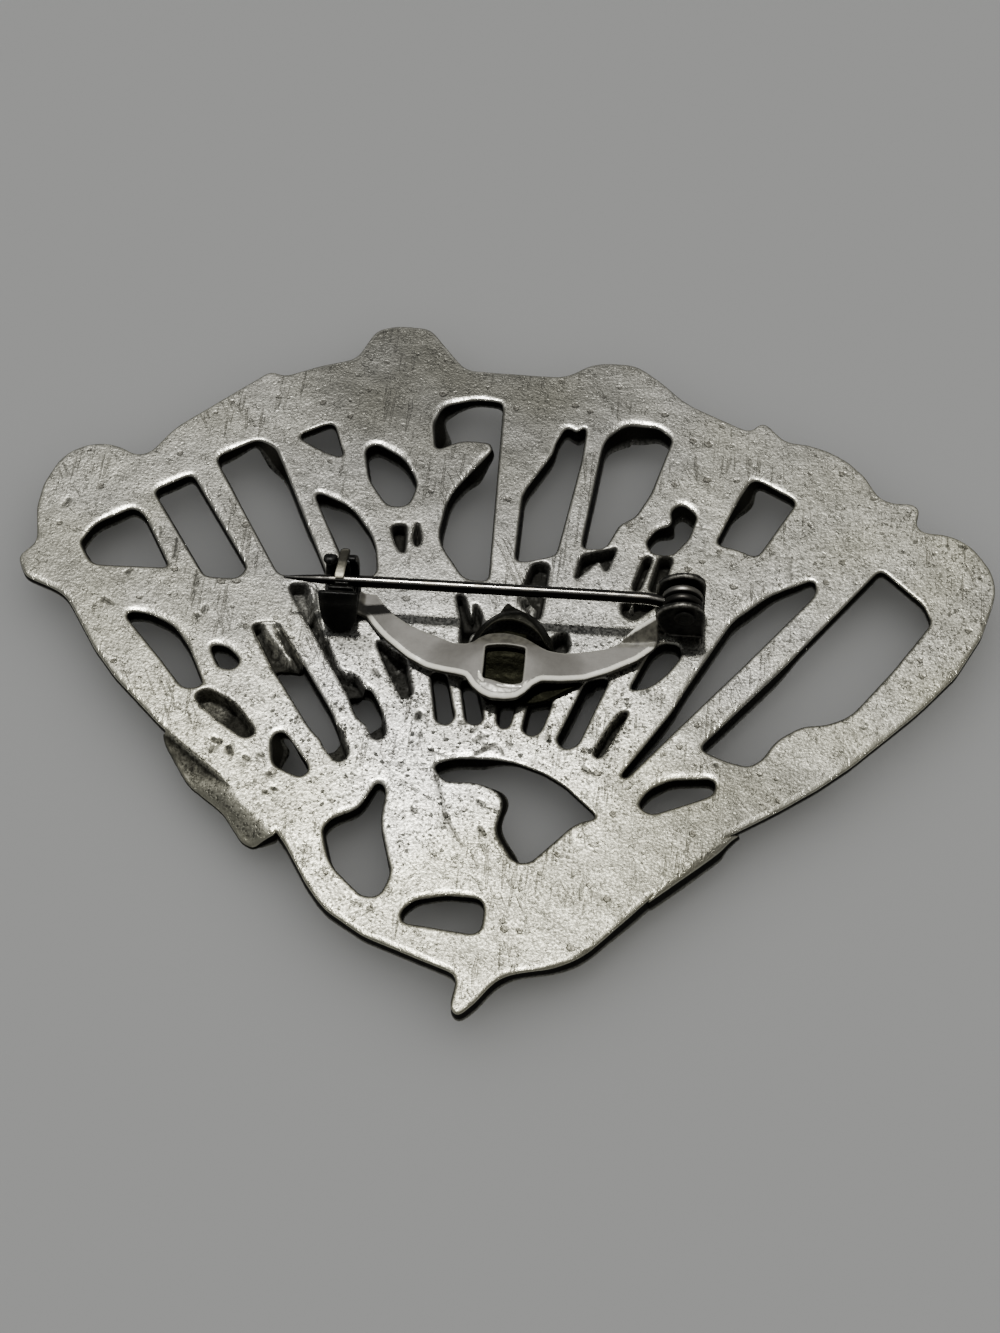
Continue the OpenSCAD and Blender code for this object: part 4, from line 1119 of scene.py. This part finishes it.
def catch_pieces(shell_steel, lever_metal, sleeve_steel):
    """C-shaped shell on a post and foot, with the sleeve and lever that turn in it"""
    front = [around(a, 1.95) for a in np.linspace(155, 192, 14)]
    front += [PIN_AXIS + (CATCH_X, y, z) for y, z in FRONT_WALL]
    barrel = [(a, 1.9, CATCH_X, 1.4, 0.26) for a in np.linspace(186, 352, 40)]
    post = [PIN_AXIS + (CATCH_X, -0.3, z) for z in (-3.6, -2.8, -1.9)]
    shell = [
        sweep("catch_front", shell_steel, front, [(w, 0.24) for w in FRONT_WIDTHS], ALONG_X, 5, 32),
        bent("catch_barrel", shell_steel, barrel, 7),
        sweep("catch_post", shell_steel, post, [(1.35, 1.5)] * 3, ALONG_X, 6, 24),
        sheet("catch_foot", shell_steel, (placed(CATCH_FOOT, PLAN + (CATCH_X, PIN_Y - 0.1)), 3), [],
              lambda p, _: BACK_Z + 0.5 + 0.08 * noise_at(p, 0.5, 70.0), 0.5, 0.2, 0.2),
        bent("catch_knob", shell_steel, KNOB, 2.8),
        bent("catch_arm", shell_steel, ARM, 5)]
    for piece in shell:
        fixed(piece, "brooch", "catch_shell")
    sleeve = [(a, 1.2, LEVER_X, 0.55 + 0.5 * float(smooth(330, 300, a)), 0.2)
              for a in np.linspace(150, 395, 50)]
    collar = [(a, 0.76, LEVER_X, 0.56, 0.16) for a in np.linspace(136, 262, 24)]
    lever = [(a, r, LEVER_X - 0.25 + 0.2 * (r - 0.6), w, t) for a, r, w, t in LEVER]
    for piece in (bent("lock_sleeve", sleeve_steel, sleeve, 7), bent("lock_collar", sleeve_steel, collar, 6),
                  bent("lock_lever", lever_metal, lever, 4)):
        fixed(piece, "lock", "catch_lock")


# Shader tools

def link(tree, a, b):
    tree.links.new(a, b)


def feed(tree, socket, value):
    """Sets a socket to a number or a colour, or links an output to it"""
    if isinstance(value, tuple):
        socket.default_value = (*value, 1)
    elif isinstance(value, (int, float)):
        socket.default_value = value
    else:
        link(tree, value, socket)


def add(tree, kind, **settings):
    node = tree.nodes.new(kind)
    for key, value in settings.items():
        setattr(node, key, value)
    return node


def math_node(tree, operation, *inputs):
    node = add(tree, "ShaderNodeMath", operation=operation)
    for socket, value in zip(node.inputs, inputs):
        feed(tree, socket, value)
    return node.outputs[0]


def times(tree, a, b):
    return math_node(tree, "MULTIPLY", a, b)


def ramp(tree, value, low, high, start=0.0, end=1.0):
    """Smooth step of a value from low to high, put out from start to end"""
    node = add(tree, "ShaderNodeMapRange", interpolation_type="SMOOTHSTEP")
    for name, number in zip(("From Min", "From Max", "To Min", "To Max"), (low, high, start, end)):
        feed(tree, node.inputs[name], number)
    link(tree, value, node.inputs["Value"])
    return node.outputs["Result"]


def mix(tree, factor, a, b, blend="MIX"):
    """Colour between a and b"""
    node = add(tree, "ShaderNodeMix", data_type="RGBA", blend_type=blend)
    for k, value in ((0, factor), (6, a), (7, b)):
        feed(tree, node.inputs[k], value)
    return node.outputs[2]


def mix_value(tree, factor, a, b):
    """Number between a and b"""
    node = add(tree, "ShaderNodeMix", data_type="FLOAT")
    for k, value in ((0, factor), (2, a), (3, b)):
        feed(tree, node.inputs[k], value)
    return node.outputs[0]


def scaled(tree, vector, factor):
    """A vector times a number, or times a tuple axis by axis"""
    by_axis = isinstance(factor, tuple)
    node = add(tree, "ShaderNodeVectorMath", operation="MULTIPLY" if by_axis else "SCALE")
    link(tree, vector, node.inputs[0])
    if by_axis:
        node.inputs[1].default_value = factor
    else:
        feed(tree, node.inputs["Scale"], factor)
    return node.outputs[0]


def texture_noise(tree, coords, scale, detail, roughness):
    node = add(tree, "ShaderNodeTexNoise")
    for name, number in (("Scale", scale), ("Detail", detail), ("Roughness", roughness)):
        node.inputs[name].default_value = number
    link(tree, coords, node.inputs["Vector"])
    return node.outputs["Fac"]


def new_group(name, inputs, outputs):
    tree = bpy.data.node_groups.new(name, "ShaderNodeTree")
    for label, value in inputs.items():
        socket = tree.interface.new_socket(label, in_out="INPUT", socket_type="NodeSocketFloat")
        socket.default_value = value
    for label in outputs:
        tree.interface.new_socket(label, in_out="OUTPUT", socket_type="NodeSocketFloat")
    return tree, add(tree, "NodeGroupInput"), add(tree, "NodeGroupOutput")


def millimetres(tree):
    """Object coordinates in millimetres"""
    return scaled(tree, add(tree, "ShaderNodeTexCoord").outputs["Object"], 1000)


def spots(tree, coords, cell, share, reach):
    """Irregular dark spots: one at most in each cell of the given size in millimetres"""
    node = add(tree, "ShaderNodeTexVoronoi", feature="F1", distance="EUCLIDEAN")
    node.inputs["Scale"].default_value = 1 / cell
    link(tree, coords, node.inputs["Vector"])
    parts = add(tree, "ShaderNodeSeparateColor")
    link(tree, node.outputs["Color"], parts.inputs[0])
    size = times(tree, ramp(tree, parts.outputs[0], 1 - share, 1.0), reach)
    return ramp(tree, math_node(tree, "SUBTRACT", size, node.outputs["Distance"]), -0.03, 0.07)


def cast_grain_group():
    """Grain of cast metal: fine grain, dark specks, curled strokes and small pits"""
    outputs = ["Height", "Specks", "Strokes", "Pits", "Tone"]
    tree, given, result = new_group("cast grain", {"Grain size": 0.25}, outputs)
    place = millimetres(tree)
    grain = scaled(tree, place, math_node(tree, "DIVIDE", 1.0, given.outputs["Grain size"]))
    fine = texture_noise(tree, grain, 0.9, 2.0, 0.6)
    coarse = texture_noise(tree, grain, 0.28, 3.0, 0.6)
    warp = add(tree, "ShaderNodeTexNoise")
    warp.inputs["Scale"].default_value = 3
    link(tree, place, warp.inputs["Vector"])
    bent_place = add(tree, "ShaderNodeVectorMath", operation="ADD")
    link(tree, place, bent_place.inputs[0])
    link(tree, scaled(tree, warp.outputs["Color"], 0.35), bent_place.inputs[1])
    uneven = bent_place.outputs[0]
    specks = math_node(tree, "MAXIMUM", times(tree, spots(tree, uneven, 0.27, 0.8, 0.56), 0.85),
                       spots(tree, uneven, 0.55, 0.42, 0.42))
    curl = texture_noise(tree, uneven, 1.15, 2.0, 0.55)
    away = math_node(tree, "ABSOLUTE", math_node(tree, "SUBTRACT", curl, 0.5))
    where = ramp(tree, texture_noise(tree, place, 0.7, 2.0, 0.5), 0.5, 0.58)
    strokes = times(tree, ramp(tree, away, 0.022, 0.008), where)
    pits = spots(tree, uneven, 1.3, 0.5, 0.28)
    height = math_node(tree, "MULTIPLY_ADD", fine, 0.6, times(tree, coarse, 0.4))
    for marks, depth in ((specks, -0.25), (pits, -0.6), (strokes, -0.4)):
        height = math_node(tree, "MULTIPLY_ADD", marks, depth, height)
    for name, value in zip(outputs, (height, specks, strokes, pits, fine)):
        link(tree, value, result.inputs[name])
    return tree


def file_scratches_group():
    """Thin file scratches in one direction, in patches"""
    tree, given, result = new_group("file scratches", {"Turn": 0.0, "Patch share": 0.5}, ["Lines"])
    place, share = millimetres(tree), given.outputs["Patch share"]
    turned = add(tree, "ShaderNodeVectorRotate", rotation_type="Z_AXIS")
    link(tree, place, turned.inputs["Vector"])
    link(tree, given.outputs["Turn"], turned.inputs["Angle"])
    stretched = scaled(tree, turned.outputs[0], (3.2, 0.22, 0.3))
    lines = ramp(tree, texture_noise(tree, stretched, 1.0, 1.0, 0.4), 0.6, 0.68)
    patches = texture_noise(tree, place, 0.16, 1.0, 0.5)
    level = ramp(tree, patches, share, math_node(tree, "ADD", share, 0.1))
    link(tree, times(tree, lines, level), result.inputs["Lines"])
    return tree


def dirt_group():
    """Soft patches of dirt, and fine streaks along X, over small metal parts"""
    tree, given, result = new_group("dirt and streaks", {"Patch size": 1.0, "Streak width": 0.1},
                                    ["Patches", "Streaks"])
    place = millimetres(tree)
    patch = scaled(tree, place, math_node(tree, "DIVIDE", 1.0, given.outputs["Patch size"]))
    link(tree, ramp(tree, texture_noise(tree, patch, 1.0, 4.0, 0.65), 0.35, 0.7), result.inputs["Patches"])
    fine = scaled(tree, scaled(tree, place, (0.05, 1, 1)),
                  math_node(tree, "DIVIDE", 1.0, given.outputs["Streak width"]))
    link(tree, texture_noise(tree, fine, 1.0, 2.0, 0.5), result.inputs["Streaks"])
    return tree


GROUPS = {"cast grain": cast_grain_group(), "file scratches": file_scratches_group(),
          "dirt and streaks": dirt_group()}


def place_group(tree, name, **values):
    node = add(tree, "ShaderNodeGroup", node_tree=GROUPS[name])
    for key, value in values.items():
        node.inputs[key.replace("_", " ").capitalize()].default_value = value
    return node


def new_material(name, metallic, roughness):
    material = bpy.data.materials.new(name)
    material.use_nodes = True
    shader = material.node_tree.nodes["Principled BSDF"]
    shader.inputs["Metallic"].default_value = metallic
    shader.inputs["Roughness"].default_value = roughness
    return material, material.node_tree, shader


def value_of(tree, name):
    """A point value stored in the mesh"""
    return add(tree, "ShaderNodeAttribute", attribute_name=name).outputs["Fac"]


def bump(tree, height, shader, depth_mm):
    node = add(tree, "ShaderNodeBump")
    node.inputs["Distance"].default_value = depth_mm * MM
    link(tree, height, node.inputs["Height"])
    link(tree, node.outputs["Normal"], shader.inputs["Normal"])


# Materials

def pewter():
    """Cast pewter: dull to bright by place, worn metal with painted sheen, with grain, specks, scratches,
    dark oxide in hollows, painted shade on walls and edges and a painted highlight on the rim bevels
    """
    material, tree, shader = new_material("worn_pewter", 0.92, 0.36)
    grain = place_group(tree, "cast grain", grain_size=0.21)
    scratch_a = place_group(tree, "file scratches", turn=0.04, patch_share=0.5)
    scratch_b = place_group(tree, "file scratches", turn=-0.42, patch_share=0.58)
    patina_and_shade, wear_and_highlight, tone = value_of(tree, "patina_and_shade"), value_of(tree, "wear_and_highlight"), value_of(tree, "tone")
    light = mix(tree, tone, (0.15, 0.148, 0.132), (1, 0.995, 0.95))
    dull = mix(tree, tone, (0.1, 0.099, 0.09), (0.46, 0.457, 0.435))
    colour = mix(tree, ramp(tree, grain.outputs["Tone"], 0.4, 0.6), dull, light)
    lines = math_node(tree, "MAXIMUM", scratch_a.outputs["Lines"], scratch_b.outputs["Lines"])
    specks = times(tree, grain.outputs["Specks"], ramp(tree, tone, 0.15, 0.7, 0.15, 1.0))
    strokes = times(tree, grain.outputs["Strokes"], ramp(tree, tone, 0.05, 0.5, 0.15, 0.75))
    # Specks, strokes, pits and scratches are the metal's own; the pale rim colour is worn metal and a
    # painted highlight, the near-black one oxide and painted shade.
    for share, paint in ((specks, (0.04, 0.04, 0.038)), (strokes, (0.07, 0.069, 0.064)),
                         (times(tree, grain.outputs["Pits"], 0.7), (0.07, 0.067, 0.06)),
                         (times(tree, lines, 0.6), (0.1, 0.098, 0.09)),
                         (times(tree, wear_and_highlight, 0.65), (0.72, 0.715, 0.66)), (patina_and_shade, (0.012, 0.0117, 0.01))):
        colour = mix(tree, share, colour, paint)
    colour = mix(tree, value_of(tree, "warmth"), colour, (1, 0.985, 0.85), "MULTIPLY")
    link(tree, colour, shader.inputs["Base Color"])
    rough = ramp(tree, grain.outputs["Tone"], 0.3, 0.7, 0.44, 0.32)
    rough = mix_value(tree, wear_and_highlight, rough, 0.26)
    link(tree, mix_value(tree, patina_and_shade, rough, 0.75), shader.inputs["Roughness"])
    bump(tree, math_node(tree, "MULTIPLY_ADD", lines, -0.35, grain.outputs["Height"]), shader, 0.045)
    return material


def satin_nickel():
    """Brushed nickel: grey sheet, with a painted highlight, partly worn metal, along its lower rim, below
    the window and at the fold's tip; tarnish behind the boss, painted shade on the fold and on the walls
    """
    material, tree, shader = new_material("satin_nickel", 0.2, 0.5)
    dirt = place_group(tree, "dirt and streaks", patch_size=0.5, streak_width=0.09)
    stain_and_shade, polish_and_highlight, wear_and_highlight = value_of(tree, "stain_and_shade"), value_of(tree, "polish_and_highlight"), value_of(tree, "wear_and_highlight")
    colour = mix(tree, dirt.outputs["Patches"], (0.165, 0.159, 0.146), (0.145, 0.139, 0.127))
    colour = mix(tree, times(tree, wear_and_highlight, 0.3), colour, (0.55, 0.54, 0.47))
    rubbed_highlight = mix(tree, dirt.outputs["Patches"], (1, 0.99, 0.9), (0.94, 0.92, 0.8))
    colour = mix(tree, polish_and_highlight, colour, rubbed_highlight)
    stain_shade_colour = mix(tree, dirt.outputs["Patches"], (0.12, 0.115, 0.09), (0.035, 0.032, 0.024))
    colour = mix(tree, stain_and_shade, colour, stain_shade_colour)
    link(tree, colour, shader.inputs["Base Color"])
    link(tree, mix_value(tree, polish_and_highlight, 0.2, 0.08), shader.inputs["Metallic"])
    rough = mix_value(tree, polish_and_highlight, 0.5, 0.18)
    link(tree, mix_value(tree, stain_and_shade, rough, 0.45), shader.inputs["Roughness"])
    bump(tree, dirt.outputs["Streaks"], shader, 0.004)
    return material


def tarnished(name, dark, light, metallic, roughness):
    """Dark tarnished metal that is lighter along its rims: worn metal and a painted highlight"""
    material, tree, shader = new_material(name, metallic, roughness)
    dirt = place_group(tree, "dirt and streaks", patch_size=0.7, streak_width=0.15)
    wear_and_highlight = value_of(tree, "wear_and_highlight")
    patchy = times(tree, wear_and_highlight, ramp(tree, dirt.outputs["Patches"], 0.2, 0.8, 0.4, 1.0))
    colour = mix(tree, times(tree, dirt.outputs["Patches"], 0.08), dark, light)
    link(tree, mix(tree, times(tree, patchy, 0.6), colour, light), shader.inputs["Base Color"])
    rough = ramp(tree, dirt.outputs["Patches"], 0.0, 1.0, roughness - 0.05, roughness + 0.1)
    link(tree, mix_value(tree, wear_and_highlight, rough, roughness + 0.12), shader.inputs["Roughness"])
    bump(tree, dirt.outputs["Patches"], shader, 0.02)
    return material


def drawn_wire():
    """Drawn steel wire with fine lines along it, a few brown spots, and painted shade around its highlight
    band
    """
    material, tree, shader = new_material("drawn_wire", 0.97, 0.2)
    dirt = place_group(tree, "dirt and streaks", patch_size=0.9, streak_width=0.06)
    spotted = ramp(tree, dirt.outputs["Patches"], 0.55, 0.95, 0.0, 0.6)
    colour = mix(tree, dirt.outputs["Streaks"], (0.2, 0.195, 0.18), (0.33, 0.32, 0.295))
    colour = mix(tree, spotted, colour, (0.2, 0.185, 0.15))
    # Painted shade: near black on the wire outside its highlight band.
    link(tree, mix(tree, value_of(tree, "stain_and_shade"), colour, (0.012, 0.011, 0.01)), shader.inputs["Base Color"])
    rough = ramp(tree, dirt.outputs["Patches"], 0.2, 0.9, 0.15, 0.28)
    link(tree, mix_value(tree, value_of(tree, "wear_and_highlight"), rough, 0.42), shader.inputs["Roughness"])
    bump(tree, dirt.outputs["Streaks"], shader, 0.002)
    return material


LEVER_PALE_Z, LEVER_DARK_Z = 8.5, 9.3


def lever_steel():
    """Lever of the lock: pale steel, darker towards its end"""
    material, tree, shader = new_material("lever_steel", 0.85, 0.55)
    dirt = place_group(tree, "dirt and streaks", patch_size=0.6, streak_width=0.12)
    height = add(tree, "ShaderNodeSeparateXYZ")
    link(tree, millimetres(tree), height.inputs[0])
    end = ramp(tree, height.outputs["Z"], LEVER_PALE_Z, LEVER_DARK_Z)
    colour = mix(tree, dirt.outputs["Patches"], (0.9, 0.86, 0.7), (0.66, 0.63, 0.5))
    link(tree, mix(tree, end, colour, (0.045, 0.043, 0.035)), shader.inputs["Base Color"])
    bump(tree, dirt.outputs["Patches"], shader, 0.02)
    return material


# Floor, lights and camera

FLOOR_HALF = 0.6


def floor():
    """Plain pale floor"""
    mesh = bpy.data.meshes.new("floor")
    corners = [(x * FLOOR_HALF, y * FLOOR_HALF, 0) for x, y in ((-1, -1), (1, -1), (1, 1), (-1, 1))]
    mesh.from_pydata(corners, [], [(0, 1, 2, 3)])
    material, _, shader = new_material("pale_floor", 0.0, 0.9)
    shader.inputs["Base Color"].default_value = (0.6, 0.603, 0.592, 1)
    mesh.materials.append(material)
    piece = bpy.data.objects.new("floor", mesh)
    bpy.context.scene.collection.objects.link(piece)
    piece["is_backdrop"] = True
    return piece


def area_light(name, place, target, size, power, colour=(1, 1, 1)):
    data = bpy.data.lights.new(name, "AREA")
    data.shape = "RECTANGLE"
    data.size, data.size_y = size
    data.energy = power
    data.color = colour
    lamp = bpy.data.objects.new(name, data)
    lamp.location = place
    lamp.rotation_euler = (Vector(target) - Vector(place)).to_track_quat("-Z", "Y").to_euler()
    bpy.context.scene.collection.objects.link(lamp)
    return lamp


# Angles in degrees, distances and sizes in metres, powers in watts
SKY_TILT, SKY_LEAN = 8, -3
SKY_FAR = 2.0
SKY_SPREADS = (15.1, 19.5, 23.5, 27.9)
SKY_WIDTH = 1.7
SKY_BRIGHT, SKY_DARK = 0.82, 0.12
SKY_COOL, SKY_WARM = (0.96, 0.98, 1.0), (1.0, 0.965, 0.89)
DISC_COLOUR = (1, 0.995, 0.98)
KEY_TILT = 14
KEY_FAR, KEY_SIDE = 0.6, -0.05
KEY_POWER = 3.6
KEY_SIZE = 0.05
KEY_COLOUR = (1, 0.985, 0.945)
PANEL_FAR = 0.3
PANEL_SIZE = 1.4
PANEL_POWER = 1.75
FILL_POWER = 1.25


def lights(ground):
    """Dim sky; nested soft discs and a key on the metal; a wide soft panel and an even fill on the floor"""
    world = bpy.data.worlds.new("studio")
    bpy.context.scene.world = world
    world.use_nodes = True
    tree = world.node_tree
    background = tree.nodes["Background"]
    background.inputs["Strength"].default_value = SKY_DARK
    parts = add(tree, "ShaderNodeSeparateXYZ")
    link(tree, add(tree, "ShaderNodeTexCoord").outputs["Generated"], parts.inputs[0])
    sky = mix(tree, ramp(tree, parts.outputs["X"], -0.25, 0.35), SKY_COOL, SKY_WARM)
    link(tree, sky, background.inputs["Color"])
    middle = (0, 0, 0)
    tilt = math.radians(KEY_TILT)
    key_place = (KEY_SIDE, KEY_FAR * math.sin(tilt), KEY_FAR * math.cos(tilt))
    on_metal = [area_light("key", key_place, middle, (KEY_SIZE, KEY_SIZE), KEY_POWER, KEY_COLOUR)]
    tilt, lean = math.radians(SKY_TILT), math.radians(SKY_LEAN)
    above = Vector((math.sin(lean), math.sin(tilt), math.cos(tilt) * math.cos(lean))) * SKY_FAR
    for k, spread in enumerate(SKY_SPREADS):
        radius = SKY_FAR * math.tan(math.radians(spread))
        power = SKY_BRIGHT / len(SKY_SPREADS) * math.pi ** 2 * radius ** 2 * SKY_WIDTH
        size = (2 * radius * SKY_WIDTH, 2 * radius)
        disc = area_light(f"sky_disc_{k}", above, middle, size, power, DISC_COLOUR)
        disc.data.shape = "ELLIPSE"
        on_metal.append(disc)
    panel, fill = (area_light(name, (0, 0, PANEL_FAR), middle, (PANEL_SIZE, PANEL_SIZE), power)
                   for name, power in (("floor_panel", PANEL_POWER), ("floor_fill", FILL_POWER)))
    only_floor = bpy.data.collections.new("only_floor")
    only_floor.objects.link(ground)
    only_metal = bpy.data.collections.new("only_metal")
    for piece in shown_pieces():
        only_metal.objects.link(piece)
    for lamp in on_metal:
        lamp.light_linking.receiver_collection = only_metal
    for lamp in (panel, fill):
        lamp.light_linking.receiver_collection = only_floor
    fill.light_linking.blocker_collection = only_floor


# Camera at the photograph's focal length, worked out in its pixels
CAMERA_TURN = 4.1
CAMERA_TILT = 34
CAMERA_FAR = 0.22
PHOTO_WIDTH = 1000
PIXELS_FOCAL = 2684
SENSOR = 36


def camera():
    """Camera at the photograph's angle, aimed at the middle of the brooch's back"""
    target = Vector((PLAN[0] * MM, PLAN[1] * MM, BACK_Z * MM))
    turn, tilt = math.radians(CAMERA_TURN), math.radians(CAMERA_TILT)
    away = Vector((math.sin(turn) * math.sin(tilt), -math.cos(turn) * math.sin(tilt), math.cos(tilt)))
    data = bpy.data.cameras.new("camera")
    data.sensor_fit = "HORIZONTAL"
    data.sensor_width = SENSOR
    data.lens = PIXELS_FOCAL / PHOTO_WIDTH * SENSOR
    data.clip_start = 0.01
    piece = bpy.data.objects.new("camera", data)
    piece.location = target + away * CAMERA_FAR
    piece.rotation_euler = (-away).to_track_quat("-Z", "Y").to_euler()
    bpy.context.scene.collection.objects.link(piece)
    bpy.context.scene.camera = piece


camera()
fixed(casting_piece(pewter()), "brooch", "casting")
strip_pieces(satin_nickel())
# The tongue's brass is darker than the hood's: painted shade under the strip.
bail_pieces(tarnished("patinated_brass", (0.007, 0.0068, 0.0045), (0.03, 0.0295, 0.02), 0.85, 0.5),
            tarnished("dark_brass_and_shade", (0.0045, 0.0045, 0.0028), (0.014, 0.0138, 0.009), 1.0, 0.45))
hinge_pieces(tarnished("dark_steel", (0.012, 0.012, 0.011), (0.42, 0.41, 0.37), 0.85, 0.36),
             tarnished("rivet_steel", (0.016, 0.016, 0.014), (0.1, 0.097, 0.088), 0.85, 0.4))
pin_pieces(drawn_wire())
# The catch shell's near-black steel is tarnish and painted shade.
catch_pieces(tarnished("black_steel_and_shade", (0.004, 0.004, 0.004), (0.045, 0.045, 0.042), 0.8, 0.42),
             lever_steel(),
             tarnished("sleeve_steel", (0.006, 0.006, 0.0055), (0.04, 0.04, 0.036), 0.8, 0.4))
lights(floor())
